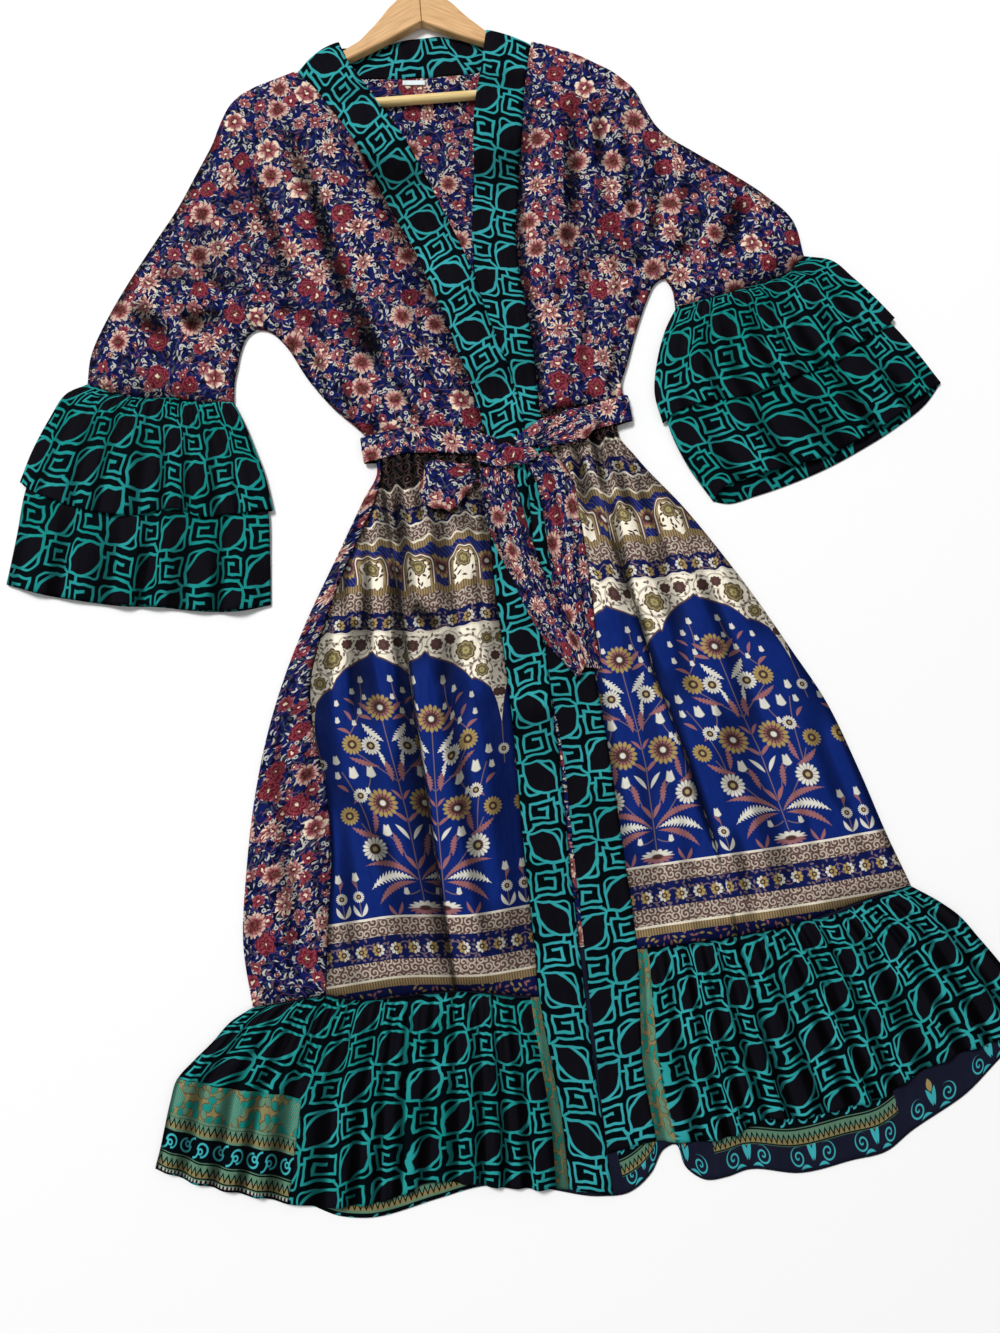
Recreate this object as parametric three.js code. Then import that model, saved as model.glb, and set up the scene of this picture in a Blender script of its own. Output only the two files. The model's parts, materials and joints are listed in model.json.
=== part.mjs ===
// Kimono robe with gathered ruffles, on a wooden hanger, laid flat with its front up.
// Millimetres. +Z is up, +Y runs towards the neck, and the origin lies under the middle of the waist.
// Left and right are the viewer's, looking down on the front.

import * as THREE from 'three';

// Cloth and the room between its layers
const CLOTH = 1.5;
const BAND_CLOTH = 1.8;
const BELT_CLOTH = 1.3;
const SEAM_GAP = 0.3;
const LAYER_GAP = 0.4;
const STEEPEST_WALL = 1.7;

// Heights of the layers, from the floor up
const FRONT_LEVEL = CLOTH + LAYER_GAP;
const CROSSED_BAND_RISE = BAND_CLOTH + 0.8;
const BELT_LIFT = BELT_CLOTH + LAYER_GAP;

// The waist, where the belt's back run lies under the robe
const WAIST = { y: 16, plateau: 26, fall: 75 };

// The hanger: its own frame has x along the arms and its origin at the lower notch between them
const HANGER = {
  notch: [-16.6, 501.1], turn: -4.6, thickness: 10, bevel: 2,
  barY: -91, barRadius: 5, barEnd: 181.6, wireRadius: 2,
};

// The cloth stands over the arms and the bar like a low tent
const TENT = {
  rise: HANGER.thickness + 2.4, halfSpan: 212, aboveArm: 3, overFall: 14, overDrop: 0.2, armDepth: 18,
  belowBar: 114, fall: 75, endFall: 42, sag: 1.2,
};

// Finish colours, roughness
const FINISH = {
  floral: { color: 0x2b2c55, roughness: 0.9 },
  geometric: { color: 0x123c42, roughness: 0.88 },
  border: { color: 0x24347a, roughness: 0.88 },
  greenBorder: { color: 0x5c8a78, roughness: 0.88 },
  label: { color: 0xf2f0ea, roughness: 0.8 },
  beech: { color: 0xd6a870, roughness: 0.55 },
  paleWood: { color: 0xebcd8c, roughness: 0.5 },
  wire: { color: 0xb9bcc0, roughness: 0.3, metalness: 0.9 },
};

// Small helpers

const mix = (a, b, t) => a + (b - a) * t;
const mixPoint = (p, q, t) => p.map((value, i) => mix(value, q[i], t));
const distance = (p, q) => Math.hypot(q[0] - p[0], q[1] - p[1]);
const clamp01 = (t) => Math.min(1, Math.max(0, t));
const ease = (t) => clamp01(t) ** 2 * (3 - 2 * clamp01(t));
const steps = (count) => Array.from({ length: count + 1 }, (_, i) => i / count);

// Running distance along a table of points, from 0 to 1
function stationsOf(points) {
  const run = [0];
  for (let i = 1; i < points.length; i += 1) {
    run.push(run[i - 1] + distance(points[i - 1], points[i]));
  }
  return run.map((value) => value / run[run.length - 1]);
}

// A smooth curve through a table of rows: cubic pieces with slopes weighted by the distance between rows
function smoothCurve(rows, stations = stationsOf(rows)) {
  const last = rows.length - 1;
  const rate = (i, k) => (rows[i + 1][k] - rows[i][k]) / (stations[i + 1] - stations[i]);
  const slope = (i, k) => {
    if (i === 0) return rate(0, k);
    if (i === last) return rate(last - 1, k);
    const before = stations[i] - stations[i - 1];
    const after = stations[i + 1] - stations[i];
    return (rate(i - 1, k) * after + rate(i, k) * before) / (before + after);
  };
  return (t) => {
    let i = 0;
    while (i < last - 1 && t > stations[i + 1]) i += 1;
    const span = stations[i + 1] - stations[i];
    const s = (t - stations[i]) / span;
    const [s2, s3] = [s * s, s * s * s];
    return rows[i].map((value, k) => value * (2 * s3 - 3 * s2 + 1) + slope(i, k) * span * (s3 - 2 * s2 + s)
      + rows[i + 1][k] * (3 * s2 - 2 * s3) + slope(i + 1, k) * span * (s3 - s2));
  };
}

// The plan of a panel. Each section joins a point of the low edge to one of the high edge; the first and
// last sections may bow along an edge of their own, and that bow fades into the panel.
function panelPlan({ sections, startEdge, endEdge, fade = 1 }) {
  const lows = sections.map((row) => row.low);
  const highs = sections.map((row) => row.high);
  const run = [0];
  for (let i = 1; i < sections.length; i += 1) {
    run.push(run[i - 1] + (distance(lows[i - 1], lows[i]) + distance(highs[i - 1], highs[i])) / 2);
  }
  const stations = run.map((value) => value / run[run.length - 1]);
  const low = smoothCurve(lows, stations);
  const high = smoothCurve(highs, stations);
  const bowOf = (edge, section) => {
    if (!edge) return () => [0, 0];
    const curve = typeof edge === 'function' ? edge : smoothCurve(edge);
    return (v) => {
      const chord = mixPoint(section.low, section.high, v);
      return curve(v).map((value, k) => value - chord[k]);
    };
  };
  const startBow = bowOf(startEdge, sections[0]);
  const endBow = bowOf(endEdge, sections[sections.length - 1]);
  return (u, v) => {
    const [first, final] = [startBow(v), endBow(v)];
    return mixPoint(low(u), high(u), v)
      .map((value, k) => value + first[k] * (1 - u) ** fade + final[k] * u ** fade);
  };
}

// A closed wall between two grids of points with the same rows and columns; a tube closes on its rows
function wallBetween(outer, inner, isTube = false) {
  const rows = outer.length;
  const columns = outer[0].length;
  const positions = [...outer.flat(), ...inner.flat()].flat();
  const at = (side, i, j) => side * rows * columns + i * columns + (j % columns);
  const triangles = [];
  const quad = (a, b, c, d) => triangles.push(a, b, c, a, c, d);
  const spans = isTube ? columns : columns - 1;
  for (let i = 0; i < rows - 1; i += 1) {
    for (let j = 0; j < spans; j += 1) {
      quad(at(0, i, j), at(0, i, j + 1), at(0, i + 1, j + 1), at(0, i + 1, j));
      quad(at(1, i, j), at(1, i + 1, j), at(1, i + 1, j + 1), at(1, i, j + 1));
    }
  }
  for (let j = 0; j < spans; j += 1) {
    quad(at(1, 0, j), at(1, 0, j + 1), at(0, 0, j + 1), at(0, 0, j));
    quad(at(0, rows - 1, j), at(0, rows - 1, j + 1), at(1, rows - 1, j + 1), at(1, rows - 1, j));
  }
  if (!isTube) {
    for (let i = 0; i < rows - 1; i += 1) {
      quad(at(0, i, 0), at(0, i + 1, 0), at(1, i + 1, 0), at(1, i, 0));
      quad(at(1, i, spans), at(1, i + 1, spans), at(0, i + 1, spans), at(0, i, spans));
    }
  }
  return closedGeometry(positions, triangles);
}

// Turns the faces outward where the signed volume says they point in
function closedGeometry(positions, triangles) {
  const point = (index) => new THREE.Vector3().fromArray(positions, index * 3);
  let volume = 0;
  for (let i = 0; i < triangles.length; i += 3) {
    const [a, b, c] = [point(triangles[i]), point(triangles[i + 1]), point(triangles[i + 2])];
    volume += a.dot(b.cross(c));
  }
  if (volume < 0) triangles.reverse();
  const geometry = new THREE.BufferGeometry();
  geometry.setAttribute('position', new THREE.Float32BufferAttribute(positions, 3));
  geometry.setIndex(triangles);
  geometry.computeVertexNormals();
  return geometry;
}

// How much taller a wall is than its cloth is thick, where the grid slopes
function slantOf(grid, i, j) {
  const row = grid[i];
  const [left, right] = [row[Math.max(0, j - 1)], row[Math.min(row.length - 1, j + 1)]];
  const [below, above] = [grid[Math.max(0, i - 1)][j], grid[Math.min(grid.length - 1, i + 1)][j]];
  const across = new THREE.Vector3(...right).sub(new THREE.Vector3(...left));
  const along = new THREE.Vector3(...above).sub(new THREE.Vector3(...below));
  const normal = across.cross(along).normalize();
  return Math.min(STEEPEST_WALL, 1 / Math.max(0.1, Math.abs(normal.z)));
}

// A panel's two sides: the underside follows a height, and the upper side is one cloth above that. Where an
// edge turns down round the hanger, the underside draws in so that the cloth keeps its thickness.
function panelSides(plan, underside, { across, along, cloth = CLOTH, turnDown }) {
  const turnAt = (x, y, u, v) => (turnDown ? turnDown.amount(x, y, u, v) : 0);
  const lower = across.map((u) => along.map((v) => {
    const [x, y] = plan(u, v);
    const turn = turnAt(x, y, u, v);
    const place = turn > 0 ? plan(u - turn * turnDown.inset[0], v - turn * turnDown.inset[1]) : [x, y];
    return [...place, underside(x, y, u, v)];
  }));
  const upper = across.map((u, i) => along.map((v, j) => {
    const [x, y] = plan(u, v);
    const rise = cloth * mix(slantOf(lower, i, j), TURN.edgeRise, turnAt(x, y, u, v));
    return [x, y, lower[i][j][2] + rise];
  }));
  return { upper, lower };
}

function panelWall(plan, underside, options) {
  const { upper, lower } = panelSides(plan, underside, options);
  return wallBetween(upper, lower);
}

// Heights that every layer shares

function toHanger(x, y) {
  const turn = THREE.MathUtils.degToRad(HANGER.turn);
  const [dx, dy] = [x - HANGER.notch[0], y - HANGER.notch[1]];
  return [dx * Math.cos(turn) + dy * Math.sin(turn), dy * Math.cos(turn) - dx * Math.sin(turn)];
}

// The belt's back run lifts what lies on it
const waistLift = (x, y) => BELT_LIFT
  * (1 - ease((Math.abs(y - WAIST.y) - WAIST.plateau) / (WAIST.fall - WAIST.plateau)));

// Upper edge of the hanger's arm, and the tent that the cloth makes over arms and bar
const ARM_REACH = 260;
const ARM_EDGE = [[0, 34], [34, 21], [49, 4], [70, -17], [91, -28], [120, -41], [150, -55], [180, -70.5],
  [200, -84], [ARM_REACH, -122]];
const ARM_TOP = smoothCurve(ARM_EDGE, ARM_EDGE.map(([x]) => x / ARM_REACH));

function tentRise(x, y) {
  const [hx, hy] = toHanger(x, y);
  const side = Math.abs(hx);
  const armTop = ARM_TOP(Math.min(1, side / ARM_REACH))[1];
  const over = ease((hy - armTop - TENT.aboveArm) / TENT.overFall);
  const under = ease((-TENT.belowBar - hy) / TENT.fall);
  const beyond = ease((side - TENT.halfSpan) / TENT.endFall);
  const armFoot = armTop - TENT.armDepth;
  const depth = clamp01((armFoot - hy) / (armFoot + TENT.belowBar));
  const sag = TENT.sag * Math.sin(Math.PI * depth) ** 2;
  return Math.max(0, (TENT.rise - sag) * (1 - TENT.overDrop * over) * (1 - under) * (1 - beyond));
}

// At the shoulder the front turns down round the hanger's arm to meet the back
const TURN = { start: 0.9933, inset: 0.0036, clear: 0.4, edgeRise: 0.5 };
const turnOf = (t) => ease((t - TURN.start) / (1 - TURN.start));

const FOLD_END = { overrun: 0.12, fade: 0.3 };

// Soft folds: each row is a ridge from one point to another, with its height and its half width on each side
function foldHeight(folds, x, y) {
  let height = 0;
  for (const { from, to, rise, left, right } of folds) {
    const [dx, dy] = [to[0] - from[0], to[1] - from[1]];
    const length = Math.hypot(dx, dy);
    const along = ((x - from[0]) * dx + (y - from[1]) * dy) / length;
    const aside = ((x - from[0]) * dy - (y - from[1]) * dx) / length;
    const width = aside < 0 ? left : right;
    const [overrun, fade] = [length * FOLD_END.overrun, length * FOLD_END.fade];
    const ends = ease((along + overrun) / fade) * ease((length + overrun - along) / fade);
    height += rise * ends * Math.exp(-((aside / width) ** 2));
  }
  return height;
}

// The edge tables, in the plan

const BAND_LEFT_OUTER = [[-165.4, 464], [-145, 439], [-129, 408], [-109, 366], [-94, 322], [-80, 277],
  [-65, 235], [-57, 200], [-45, 155], [-38, 115], [-30, 75], [-26, 40], [-26, 10], [-30, -40], [-37, -90],
  [-41, -140], [-43, -200], [-45, -250], [-48, -300], [-52, -350], [-56, -400], [-59, -450], [-62, -500],
  [-65, -543], [-64, -600], [-63, -660], [-67, -719]];
const BAND_LEFT_INNER = [[-112, 496], [-103, 462], [-92, 439], [-76, 403], [-60, 372], [-40, 319], [-28, 279],
  [-14, 228], [-8, 205], [-3, 165], [6, 120], [13, 80], [17, 30], [14, 0], [8, -60], [3, -130], [-1, -200],
  [-4.5, -260], [-7, -330], [-11, -380], [-15, -430], [-18, -480], [-21, -530], [-24.5, -600], [-27, -690],
  [-28, -731]];
const BAND_RIGHT_OUTER = [[98.6, 457], [87, 420], [78, 388], [69, 346], [60, 313], [53, 274], [46, 250],
  [42, 215], [41, 120], [39, 80], [36, 37], [38, 0], [40, -40], [42, -100], [43, -180], [43, -250], [43, -300],
  [42, -350], [39, -430], [37, -490], [34, -530], [27, -575], [21, -620], [21, -690]];
const BAND_RIGHT_INNER = [[54, 483], [46, 458], [38, 430], [28, 401], [20, 369], [12, 319], [4, 280],
  [-3, 239], [-6, 205], [-10, 150], [-11, 100], [-10, 60], [-9, 20], [-8, -40], [-7, -120], [-5, -200],
  [-3.2, -260], [-3, -330], [-6.5, -380], [-10, -430], [-13, -480], [-16.5, -530], [-20.5, -600],
  [-24, -650], [-26, -694]];

const CUFF_SEAM_LEFT = [[-279, 100], [-300, 104], [-320, 108], [-340, 115], [-360, 118], [-385, 124],
  [-400, 130], [-428, 145]];
const CUFF_SEAM_RIGHT = [[198, 128], [240, 132], [270, 136], [300, 140], [320, 145], [345, 163]];
const SIDE_SEAM_LEFT = [[-137, 24], [-138, -2], [-146, -24], [-181, -82], [-217, -148], [-241, -210],
  [-244, -255], [-240, -310], [-244, -380], [-257, -448], [-267, -507.5]];

// The x of an edge at a height, and a seam that follows it between two heights at a small distance
function xAtHeight(edge) {
  const rows = [...edge].sort((p, q) => p[1] - q[1]);
  const heights = rows.map((row) => row[1]);
  const [low, high] = [heights[0], heights[heights.length - 1]];
  const curve = smoothCurve(rows, heights.map((y) => (y - low) / (high - low)));
  return (y) => curve((y - low) / (high - low))[0];
}

function seamAlong(edge, lowY, highY, shift) {
  const xAt = xAtHeight(edge);
  return (v) => [xAt(mix(lowY, highY, v)) + shift, mix(lowY, highY, v)];
}

const shifted = (edge, dx, dy) => edge.map(([x, y]) => [x + dx, y + dy]);
const endsAs = (seam) => ({ low: seam(0), high: seam(1) });

// Bodice: body and sleeve are cut in one

const BAND_ENDS = {
  left: { foot: -719, ruffleTop: -543, waist: 25, top: 464, crown: 7 },
  right: { foot: -690, ruffleTop: -515, waist: 37, top: 457, crown: 2 },
};
const bodiceEdgeLeft = seamAlong(BAND_LEFT_OUTER, BAND_ENDS.left.waist, BAND_ENDS.left.top, -SEAM_GAP);
const bodiceEdgeRight = seamAlong(BAND_RIGHT_OUTER, BAND_ENDS.right.waist, BAND_ENDS.right.top, SEAM_GAP);

const BODICE_LEFT = [
  endsAs(bodiceEdgeLeft),
  { low: [-64, 25], high: [-180, 460] },
  { low: [-103, 26], high: [-196, 456] },
  { low: [-141, 28], high: [-212, 452] },
  { low: [-152, 47], high: [-225, 447] },
  { low: [-176, 76], high: [-237, 437] },
  { low: [-198, 112], high: [-250, 420] },
  { low: [-215, 151], high: [-265, 397] },
  { low: [-229, 171], high: [-285, 367] },
  { low: [-243, 177], high: [-310, 330] },
  { low: [-256, 171], high: [-345, 287] },
  { low: [-265, 155], high: [-375, 249] },
  { low: [-270, 140], high: [-400, 214] },
  { low: [-276, 121], high: [-421, 176] },
  { low: [-279, 100], high: [-428, 145] },
];
const BODICE_RIGHT = [
  endsAs(bodiceEdgeRight),
  { low: [64, 37], high: [114, 450] },
  { low: [93, 35], high: [130, 441.5] },
  { low: [121, 31], high: [147, 431.5] },
  { low: [126, 55], high: [163, 419] },
  { low: [138, 79], high: [178, 407] },
  { low: [151, 107], high: [190, 393] },
  { low: [168, 139], high: [201, 379] },
  { low: [181, 158], high: [211, 354] },
  { low: [191, 163], high: [224, 330] },
  { low: [197, 156], high: [252, 303] },
  { low: [199, 147], high: [284, 274] },
  { low: [199, 140], high: [318, 240] },
  { low: [198.5, 133], high: [342, 205] },
  { low: [198, 128], high: [345, 163] },
];

const BODICE_FOLDS = [
  { from: [-198, 420], to: [-178, 200], rise: 4.5, left: 11, right: 16 },
  { from: [-152, 400], to: [-132, 170], rise: 4, left: 12, right: 15 },
  { from: [-112, 300], to: [-84, 60], rise: 4, left: 12, right: 12 },
  { from: [-345, 232], to: [-216, 196], rise: 5, left: 12, right: 14 },
  { from: [-388, 190], to: [-290, 160], rise: 4, left: 12, right: 12 },
  { from: [-150, 130], to: [-112, 52], rise: 4, left: 11, right: 11 },
  { from: [124, 420], to: [92, 235], rise: 5, left: 9, right: 15 },
  { from: [90, 220], to: [76, 60], rise: 4.5, left: 9, right: 13 },
  { from: [66, 330], to: [58, 120], rise: 3, left: 10, right: 10 },
  { from: [254, 246], to: [218, 196], rise: 5, left: 10, right: 13 },
  { from: [206, 240], to: [190, 176], rise: 4, left: 9, right: 10 },
  { from: [130, 190], to: [108, 66], rise: 4, left: 10, right: 11 },
  { from: [312, 216], to: [268, 160], rise: 4, left: 12, right: 12 },
];

const BODICE_ROWS = [0, 0.055, 0.13, 0.22, 0.32, 0.43, 0.54, 0.65, 0.76, 0.86, 0.945, TURN.start, 1];

const BODICE_FOLD_EDGE = { foot: 0.12, top: 0.12, cuff: 0.08, band: 0.05, overHanger: 0.7 };

function frontUnderside(x, y, u, v) {
  const tent = tentRise(x, y);
  const { foot, top, cuff, band, overHanger } = BODICE_FOLD_EDGE;
  const fade = 1 - overHanger * tent / TENT.rise;
  const edge = ease(v / foot) * ease((1 - v) / top) * ease((1 - u) / cuff) * ease(u / band);
  const lowered = tent * (1 - turnOf(v)) + TURN.clear * turnOf(v) * tent / TENT.rise;
  return FRONT_LEVEL + waistLift(x, y) + lowered + foldHeight(BODICE_FOLDS, x, y) * fade * edge;
}

function frontBodice(sections, startEdge, endEdge) {
  return panelWall(panelPlan({ sections, startEdge, endEdge, fade: 1.6 }), frontUnderside, {
    across: steps(18),
    along: BODICE_ROWS,
    turnDown: { amount: (x, y, u, v) => turnOf(v) * tentRise(x, y) / TENT.rise, inset: [0, TURN.inset] },
  });
}

// The back bodice runs from cuff to cuff; its top is the neckband's seam and its foot the waist
const NECK_SEAM = [[-165.4, 464], [-130, 456], [-93, 451], [-55, 444], [-20, 440], [10, 438], [35, 437],
  [70, 445], [98.6, 457]];
const BACK_WAIST = [[-141, 28], [-103, 26], [-64, 25], [-26, 25], [10, 27], [36, 29], [64, 30], [93, 31],
  [121, 31]];
const BACK_COLUMNS = 30;
const NECK_COLUMNS = { first: 10, last: 19 };

const backBodicePlan = (() => {
  const seam = smoothCurve(NECK_SEAM);
  const middle = BACK_WAIST.map((low, i) => ({ low, high: seam(i / (BACK_WAIST.length - 1)) }));
  const sections = [...[...BODICE_LEFT].reverse().slice(0, 11), ...middle, ...BODICE_RIGHT.slice(4)];
  return panelPlan({ sections, startEdge: CUFF_SEAM_LEFT, endEdge: CUFF_SEAM_RIGHT, fade: 6 });
})();

function backBodice() {
  return panelWall(backBodicePlan, waistLift,
    { across: steps(BACK_COLUMNS), along: [0, 0.055, 0.13, 0.32, 0.54, 0.76, 1] });
}

// The neckband behind the neck lies under the hanger, edge to edge with the back bodice
function backNeckband() {
  const upperEdge = smoothCurve([[-112, 492], [-85, 489], [-60, 487], [-36, 490], [-17, 489], [1, 488],
    [14, 483], [28, 478], [52, 477]]);
  const count = NECK_COLUMNS.last - NECK_COLUMNS.first;
  const plan = (u, v) => {
    const [x, y] = backBodicePlan((NECK_COLUMNS.first + u * count) / BACK_COLUMNS, 1);
    return mixPoint([x, y + SEAM_GAP], upperEdge(u), v);
  };
  return panelWall(plan, () => 0, { across: steps(count), along: steps(2) });
}

// Front bands. The left one crosses over the right one between the breast and the thigh. Their rows are those
// of the panels that they are sewn to, so that the seams match.
const CROSSING = { top: 216, topFall: 60, foot: -252, footFall: 34 };
const crossedRise = (y) => CROSSED_BAND_RISE * ease((CROSSING.top + CROSSING.topFall - y) / CROSSING.topFall)
  * ease((y - CROSSING.foot + CROSSING.footFall) / CROSSING.footFall);

function bandRows({ foot, ruffleTop, waist, top }) {
  const rowsOf = (from, to, rows) => rows.map((v) => mix(from, to, v));
  return [
    ...rowsOf(foot, ruffleTop, RUFFLE_ROWS),
    ...rowsOf(ruffleTop, waist, SKIRT_ROWS).slice(1),
    ...rowsOf(waist, top, BODICE_ROWS).slice(1),
  ];
}

const CROWN_FROM = 0.9;

function frontBand({ outer, inner, ends, isOver }) {
  const innerFoot = inner[inner.length - 1][1];
  const innerTop = inner[0][1];
  const rows = bandRows(ends);
  const innerX = xAtHeight(inner);
  const outerX = xAtHeight(outer);
  const plan = (u, v) => {
    const y = rows[Math.round(u * (rows.length - 1))];
    const innerY = mix(innerFoot, innerTop, (y - ends.foot) / (ends.top - ends.foot));
    const [px, py] = mixPoint([innerX(innerY), innerY], [outerX(y), y], v);
    return [px, py + ends.crown * Math.sin(Math.PI * v) * ease((u - CROWN_FROM) / (1 - CROWN_FROM))];
  };
  const turn = (u) => (u === 1 ? 1 : 0);
  const underside = (x, y, u) => {
    const tent = tentRise(x, y);
    const lowered = tent * (1 - turn(u)) + TURN.clear * turn(u) * tent / TENT.rise;
    return FRONT_LEVEL + waistLift(x, y) + lowered + (isOver ? crossedRise(y) : 0);
  };
  return panelWall(plan, underside, { across: steps(rows.length - 1), along: steps(2), cloth: BAND_CLOTH });
}

// Skirt

const SKIRT_BACK = [
  { left: [-142, 24], right: [119, 24.5] },
  { left: [-142, -1], right: [112, 0] },
  { left: [-160, -27], right: [126, -28] },
  { left: [-200, -88], right: [164, -88] },
  { left: [-240, -150], right: [197, -150] },
  { left: [-270, -205], right: [223, -205] },
  { left: [-290, -250], right: [242, -250] },
  { left: [-310, -308], right: [266, -308] },
  { left: [-328, -380], right: [284, -380] },
  { left: [-340, -450], right: [298, -450] },
  { left: [-338.5, -507.5], right: [310, -499.5] },
];
const SKIRT_FOLDS = [
  { from: [-174, -70], to: [-186, -150], rise: 5, left: 8, right: 8 },
  { from: [-150, -30], to: [-164, -230], rise: 6, left: 9, right: 12 },
  { from: [-112, -10], to: [-112, -150], rise: 5, left: 11, right: 9 },
  { from: [-72, -60], to: [-74, -240], rise: 4.5, left: 12, right: 10 },
  { from: [-126, -210], to: [-122, -512], rise: 6.5, left: 11, right: 30 },
  { from: [-206, -230], to: [-214, -490], rise: 4, left: 24, right: 18 },
  { from: [66, -130], to: [70, -330], rise: 4, left: 8, right: 10 },
  { from: [92, -30], to: [120, -240], rise: 5, left: 9, right: 12 },
  { from: [138, -80], to: [168, -300], rise: 4.5, left: 12, right: 13 },
  { from: [216, -240], to: [246, -480], rise: 4.5, left: 22, right: 18 },
  { from: [128, -290], to: [130, -500], rise: 4, left: 18, right: 22 },
];

const WAIST_SEAM_GAP = 0.7;
const SKIRT_ROWS = [0, 0.06, 0.13, 0.21, 0.29, 0.37, 0.45, 0.53, 0.61, 0.69, 0.77, 0.85, 0.91, 0.955, 1];

const SKIRT_FOLD_EDGE = { waist: 0.08, foot: 0.05, side: 0.05 };

function skirtFrontUnderside(x, y, u, v) {
  const { waist, foot, side } = SKIRT_FOLD_EDGE;
  const edge = ease((1 - v) / waist) * ease(v / foot) * ease(u / side) * ease((1 - u) / side);
  return FRONT_LEVEL + waistLift(x, y) + foldHeight(SKIRT_FOLDS, x, y) * edge;
}

// The back of the skirt wraps round the left side and comes forward as far as the side seam
const BACK_SPANS = { under: [1, 0.8, 0.6, 0.4, 0.2, 0.02], over: [0.16, 0.6, 1] };

function skirtBack() {
  const stations = stationsOf(SKIRT_BACK.map((row) => row.left));
  const left = smoothCurve(SKIRT_BACK.map((row) => row.left), stations);
  const right = smoothCurve(SKIRT_BACK.map((row) => row.right), stations);
  const seam = smoothCurve(SIDE_SEAM_LEFT);
  const top = FRONT_LEVEL + CLOTH;
  const [outer, inner] = [[], []];
  for (const t of SKIRT_ROWS.map((v) => 1 - v)) {
    const [a, b, s] = [left(t), right(t), seam(t)];
    const lift = waistLift(a[0], a[1]);
    const over = (f) => mixPoint(a, s, f);
    const under = (f) => mixPoint(a, b, f);
    outer.push([
      ...BACK_SPANS.under.map((f) => [...under(f), lift]),
      [a[0], a[1], lift + top / 2],
      ...BACK_SPANS.over.map((f) => [...over(f), lift + top]),
    ]);
    inner.push([
      ...BACK_SPANS.under.map((f) => [...under(f), lift + CLOTH]),
      [a[0] + BAND_CLOTH, a[1], lift + top / 2],
      ...BACK_SPANS.over.map((f) => [...over(f), lift + FRONT_LEVEL]),
    ]);
  }
  return wallBetween(outer, inner);
}

function skirtFrontLeft() {
  const sideSeam = smoothCurve(SIDE_SEAM_LEFT);
  const startEdge = (v) => [sideSeam(1 - v)[0] + SEAM_GAP, sideSeam(1 - v)[1]];
  const { ruffleTop, waist } = BAND_ENDS.left;
  const endEdge = seamAlong(BAND_LEFT_OUTER, ruffleTop, waist - WAIST_SEAM_GAP, -SEAM_GAP);
  const sections = [
    endsAs(startEdge),
    { low: [-230, -519], high: [-115, 24.3] },
    { low: [-180, -521.5], high: [-90, 24.3] },
    { low: [-140, -525], high: [-68, 24.3] },
    { low: [-100, -535], high: [-46, 24.3] },
    endsAs(endEdge),
  ];
  return panelWall(panelPlan({ sections, startEdge, endEdge }), skirtFrontUnderside,
    { across: steps(15), along: SKIRT_ROWS });
}

function skirtFrontRight() {
  const { ruffleTop, waist } = BAND_ENDS.right;
  const startEdge = seamAlong(BAND_RIGHT_OUTER, ruffleTop, waist - WAIST_SEAM_GAP, SEAM_GAP);
  const endEdge = smoothCurve([[119, 28], ...SKIRT_BACK.slice(1).map((row) => row.right)].reverse());
  const sections = [
    endsAs(startEdge),
    { low: [90, -518.5], high: [58, 36.3] },
    { low: [150, -519], high: [78, 35] },
    { low: [210, -515], high: [98, 32.6] },
    { low: [260, -506], high: [109, 30] },
    endsAs(endEdge),
  ];
  return panelWall(panelPlan({ sections, startEdge, endEdge }), skirtFrontUnderside,
    { across: steps(13), along: SKIRT_ROWS });
}

// Gathered ruffles at the foot. Waves start small at the seam and grow towards the hem.

const DRIFT = { slow: 0.28, slowRate: 7.3, quick: 0.17, quickRate: 19 };
const UNEVEN = { least: 0.44, rate: 2.4 };
const GATHER_FADE = { seam: 0.35, seamEnd: 0.06, sides: 0.03 };

function gatherHeight({ waves, rise, seed }, u, v) {
  const phase = waves * u + DRIFT.slow * Math.sin(DRIFT.slowRate * u + seed)
    + DRIFT.quick * Math.sin(DRIFT.quickRate * u + 2 * seed);
  const wave = 0.5 - 0.5 * Math.cos(2 * Math.PI * phase);
  const size = mix(UNEVEN.least, 1, 0.5 + 0.5 * Math.sin(UNEVEN.rate * Math.floor(phase) + seed));
  const fall = mix(GATHER_FADE.seam, 1, ease(1 - v)) * ease((1 - v) / GATHER_FADE.seamEnd);
  const ends = ease(u / GATHER_FADE.sides) * ease((1 - u) / GATHER_FADE.sides);
  return rise * wave * size * fall * ends;
}

const RUFFLE_LEFT_SIDE = [[-339, -508.2], [-360, -517], [-380, -533], [-400, -547], [-418, -562], [-425, -578],
  [-433, -600], [-440, -620], [-447, -637]];
const RUFFLE_RIGHT_SIDE = [[310, -500.2], [335, -520], [350, -535], [365, -560], [378, -583], [392, -612],
  [402, -642]];
const RUFFLE_LEFT = [
  { low: [-447, -637], high: [-339, -508.2] },
  { low: [-400, -660], high: [-305, -509.3] },
  { low: [-350, -679], high: [-268, -509.3] },
  { low: [-300, -695], high: [-240, -517.8] },
  { low: [-262, -700], high: [-215, -521.4] },
  { low: [-225, -698], high: [-185, -522.6] },
  { low: [-200, -691], high: [-165, -524] },
  { low: [-165, -696], high: [-140, -526.4] },
  { low: [-120, -709], high: [-104, -535.8] },
  { low: [-95, -713], high: [-85, -541.2] },
  { low: [-67.3, -719], high: [-65.3, -543.7] },
];
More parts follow.
